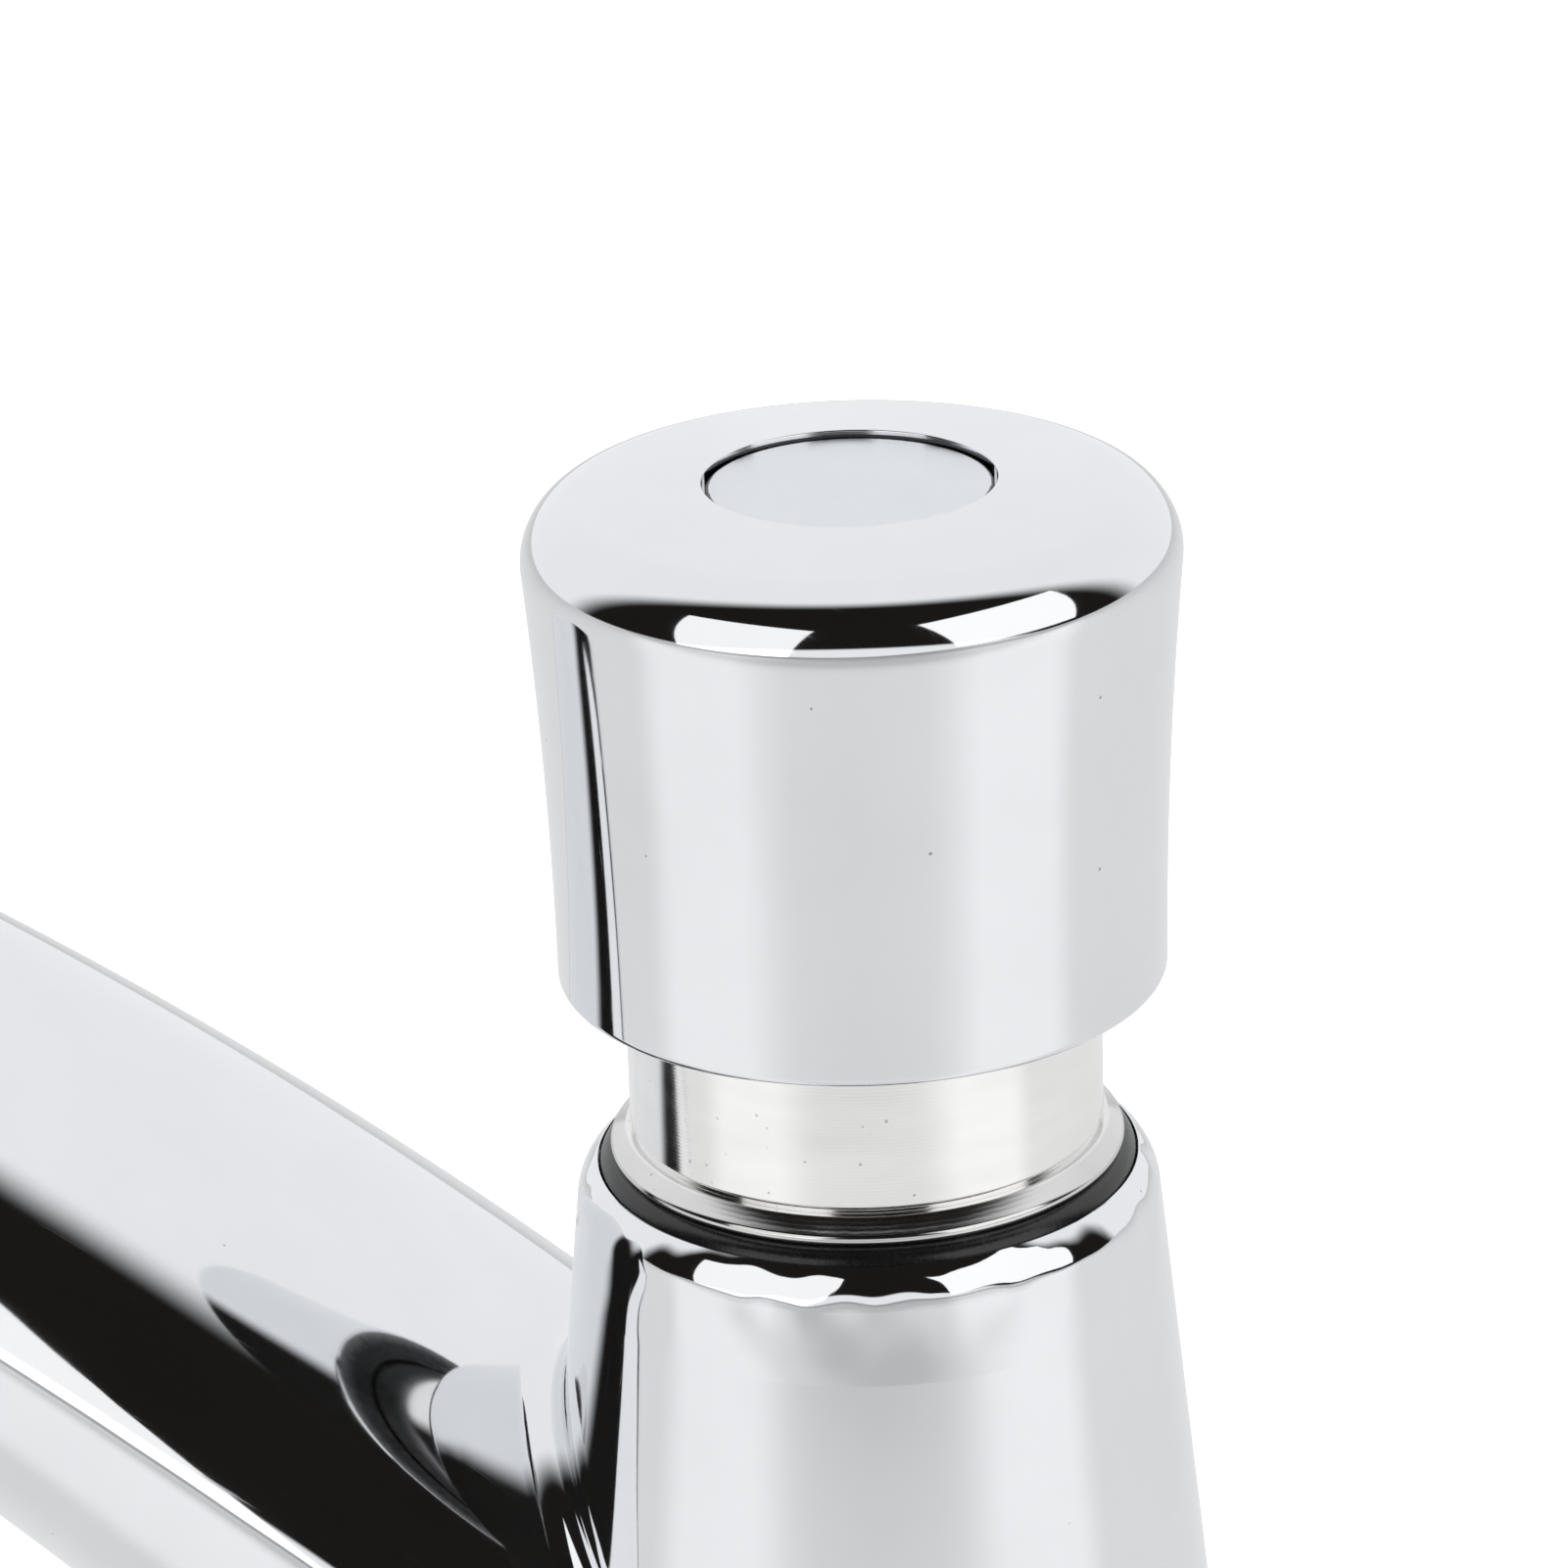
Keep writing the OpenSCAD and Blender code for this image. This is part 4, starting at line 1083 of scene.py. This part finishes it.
dress(inlet_shank(), "inlet_shank", "tap")
dress(lock_nut(), "lock_nut", "tap")
dress(aerator_shell(), "aerator_shell", "tap")
bare_and_shaded_inside(dress(push_cap(), "push_cap", "plunger"))
dress(cap_disc(), "cap_disc", "plunger")
spring = dress(return_spring(), "return_spring", "tap")
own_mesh(spring)

for node, cad_piece in frame["nodes"].items():
    cad_piece.data.materials.clear()
    cad_piece.data.materials.append(FINISHES[SLOT_OF[node]])


# Floor, light and camera

def way_at(azimuth, elevation):
    """Unit vector at an angle round from the front towards +X and an angle above the level."""
    level = math.cos(elevation)
    return Vector((math.sin(azimuth) * level, -math.cos(azimuth) * level, math.sin(elevation)))


CAMERA_AZIMUTH = math.radians(108.3)
CAMERA_ELEVATION = math.radians(21.67)
CAMERA_ROLL = math.radians(1.84)
CAMERA_LEFT = 4.428
CAMERA_RAISED = 11.076
CAMERA_DISTANCE = 392
LENS_LENGTH = 148.25
SENSOR_WIDTH = 36
TOWARDS_CAMERA = way_at(CAMERA_AZIMUTH, 0)
LAMPS_AIM = Vector((0, 0, 0.06))
FLOOR_HALF = 3.0
FLOOR_Z = SHANK_END_Z - 0.5
WHITE = (1, 1, 1, 1)
MIDDLE_GREY = (0.5, 0.5, 0.5, 1)
PALE_WALL = (0.96, 0.97, 0.98, 1)
DARK_ROOM = (0.012, 0.011, 0.010, 1)


def rays_of(tree, kinds):
    """1 for rays of these kinds, else 0."""
    rays = tree.nodes.new("ShaderNodeLightPath")
    total = rays.outputs[kinds[0]]
    for kind in kinds[1:]:
        total = math_node(tree, "MAXIMUM", total, rays.outputs[kind])
    return total


def floor_strength(tree):
    """Glow of the floor: white to the camera, dimmer by the tap, pale in metal and none on matt faces.

    Lengths are metres from the tap's axis. Facing is 1 straight towards the camera and -1 straight away.
    Metal mirrors paper with painted shade that fades it towards the camera, and a painted pool of light on
    either side.
    """
    spot = tree.nodes.new("ShaderNodeNewGeometry").outputs["Position"]
    towards = vector_node(tree, "DOT_PRODUCT", spot, TOWARDS_CAMERA)["Value"]
    distance = axis_distance(tree, spot)
    facing = math_node(tree, "DIVIDE", towards, distance)
    # Painted shade: the paper's glow seen in metal drops towards the camera.
    paper = range_node(tree, towards, (0.22, 0.58), (0.39, 0.12), smooth=True)
    # Painted pools of light: a brighter glow on either side of the tap, below the side lamps.
    painted_pool_front = range_node(tree, facing, (0.94, 0.7), (0, 0.18), smooth=True)
    painted_pool_back = range_node(tree, facing, (0.08, 0.33), smooth=True)
    painted_light_pools = math_node(tree, "MULTIPLY", painted_pool_front, painted_pool_back)
    in_metal = rays_of(tree, ("Is Glossy Ray", "Is Transmission Ray"))
    mirrored = math_node(tree, "MULTIPLY", math_node(tree, "ADD", paper, painted_light_pools), in_metal)
    clear_of_tap = range_node(tree, distance, (0.06, 0.2), (0.54, 1), smooth=True)
    seen = math_node(tree, "MULTIPLY", clear_of_tap, rays_of(tree, ("Is Camera Ray",)))
    return math_node(tree, "ADD", mirrored, seen)


def floor():
    """Pale table that keeps the tap's shadow and is open from below."""
    z = FLOOR_Z * MM
    mesh = bpy.data.meshes.new("floor")
    signs = ((-1, -1), (1, -1), (1, 1), (-1, 1))
    mesh.from_pydata([(x * FLOOR_HALF, y * FLOOR_HALF, z) for x, y in signs], [], [(0, 1, 2, 3)])
    plane = bpy.data.objects.new("floor", mesh)
    bpy.context.scene.collection.objects.link(plane)
    material = bpy.data.materials.new("floor_pale")
    material.use_nodes = True
    tree = material.node_tree
    tree.nodes.clear()
    diffuse = tree.nodes.new("ShaderNodeBsdfDiffuse")
    diffuse.inputs["Color"].default_value = MIDDLE_GREY
    glow = tree.nodes.new("ShaderNodeEmission")
    glow.inputs["Color"].default_value = WHITE
    tree.links.new(floor_strength(tree), glow.inputs["Strength"])
    both = tree.nodes.new("ShaderNodeAddShader")
    tree.links.new(diffuse.outputs[0], both.inputs[0])
    tree.links.new(glow.outputs[0], both.inputs[1])
    clear = tree.nodes.new("ShaderNodeBsdfTransparent")
    under = tree.nodes.new("ShaderNodeNewGeometry")
    choice = tree.nodes.new("ShaderNodeMixShader")
    tree.links.new(under.outputs["Backfacing"], choice.inputs[0])
    tree.links.new(both.outputs[0], choice.inputs[1])
    tree.links.new(clear.outputs[0], choice.inputs[2])
    output = tree.nodes.new("ShaderNodeOutputMaterial")
    tree.links.new(choice.outputs[0], output.inputs["Surface"])
    mesh.materials.append(material)


def world():
    """Pale studio with a dark room on the photographer's side, which polished metal mirrors.

    The room is dark ahead of a leaning line and above the paper, whose edge rises ahead and behind.
    """
    over_one = 1.0001
    line_lean = 0.36
    edge_curve = 0.3
    edge_drop = 0.12
    # A mix node has sockets for each kind of data, and these are the ones for colours
    first_colour, second_colour, mixed_colour = 6, 7, 2
    studio = bpy.data.worlds.new("studio")
    bpy.context.scene.world = studio
    studio.use_nodes = True
    tree = studio.node_tree
    background = tree.nodes["Background"]
    way = tree.nodes.new("ShaderNodeTexCoord").outputs["Generated"]
    height = height_of(tree, way)
    towards = vector_node(tree, "DOT_PRODUCT", way, TOWARDS_CAMERA)["Value"]
    height_squared = math_node(tree, "MULTIPLY", height, height)
    level = math_node(tree, "SQRT", math_node(tree, "SUBTRACT", over_one, height_squared), 0)
    facing = math_node(tree, "DIVIDE", towards, level)
    lean = math_node(tree, "SUBTRACT", towards, math_node(tree, "MULTIPLY", height, line_lean))
    ahead = range_node(tree, lean, (-0.40, -0.13), smooth=True)
    facing_squared = math_node(tree, "MULTIPLY", facing, facing)
    curve = math_node(tree, "MULTIPLY", facing_squared, edge_curve)
    paper_edge = math_node(tree, "SUBTRACT", curve, edge_drop)
    over_edge = math_node(tree, "SUBTRACT", height, paper_edge)
    above = range_node(tree, over_edge, (-0.03, 0.03), smooth=True)
    dark = math_node(tree, "MULTIPLY", ahead, above)
    tone = tree.nodes.new("ShaderNodeValToRGB")
    tone.color_ramp.elements[0].color = PALE_WALL
    tone.color_ramp.elements[1].color = DARK_ROOM
    tree.links.new(dark, tone.inputs["Fac"])
    plain = tree.nodes.new("ShaderNodeMix")
    plain.data_type = "RGBA"
    tree.links.new(rays_of(tree, ("Is Camera Ray",)), plain.inputs["Factor"])
    tree.links.new(tone.outputs["Color"], plain.inputs[first_colour])
    plain.inputs[second_colour].default_value = WHITE
    tree.links.new(plain.outputs[mixed_colour], background.inputs["Color"])


def softbox(name, azimuth, elevation, distance, width, height, power):
    """Area lamp that faces the tap, placed by degrees round from the camera and above the level."""
    lamp = bpy.data.lights.new(name, "AREA")
    lamp.shape = "RECTANGLE"
    lamp.size = width
    lamp.size_y = height
    lamp.energy = power
    way = way_at(CAMERA_AZIMUTH + math.radians(azimuth), math.radians(elevation))
    holder = bpy.data.objects.new(name, lamp)
    holder.location = LAMPS_AIM + distance * way
    holder.rotation_euler = way.to_track_quat("Z", "Y").to_euler()
    bpy.context.scene.collection.objects.link(holder)
    return holder


def camera():
    """Camera fitted to the photograph: long lens on the +X side, a little above, slightly rolled."""
    right = Vector((math.cos(CAMERA_AZIMUTH), math.sin(CAMERA_AZIMUTH), 0))
    back = way_at(CAMERA_AZIMUTH, CAMERA_ELEVATION)
    up = back.cross(right)
    place = Vector((0, 0, CAP_Z)) - right * CAMERA_LEFT + up * CAMERA_RAISED + back * CAMERA_DISTANCE
    cam_right = math.cos(CAMERA_ROLL) * right - math.sin(CAMERA_ROLL) * up
    cam_up = math.sin(CAMERA_ROLL) * right + math.cos(CAMERA_ROLL) * up
    lens = bpy.data.cameras.new("camera")
    lens.sensor_width = SENSOR_WIDTH
    lens.lens = LENS_LENGTH
    lens.clip_start = 0.01
    lens.clip_end = 20
    holder = bpy.data.objects.new("camera", lens)
    holder.matrix_world = Matrix((cam_right, cam_up, back)).transposed().to_4x4()
    holder.location = place * MM
    bpy.context.scene.collection.objects.link(holder)
    bpy.context.scene.camera = holder


floor()
world()
softbox("softbox_left", azimuth=-42, elevation=21, distance=1.2, width=0.92, height=1.0, power=3.2)
softbox("softbox_right", azimuth=56, elevation=25, distance=1.2, width=1.07, height=1.0, power=4.0)
top = softbox("softbox_top", azimuth=180, elevation=78, distance=1.3, width=1.1, height=1.1, power=5.0)
top.visible_glossy = False
camera()
bpy.context.scene.view_settings.view_transform = "Standard"
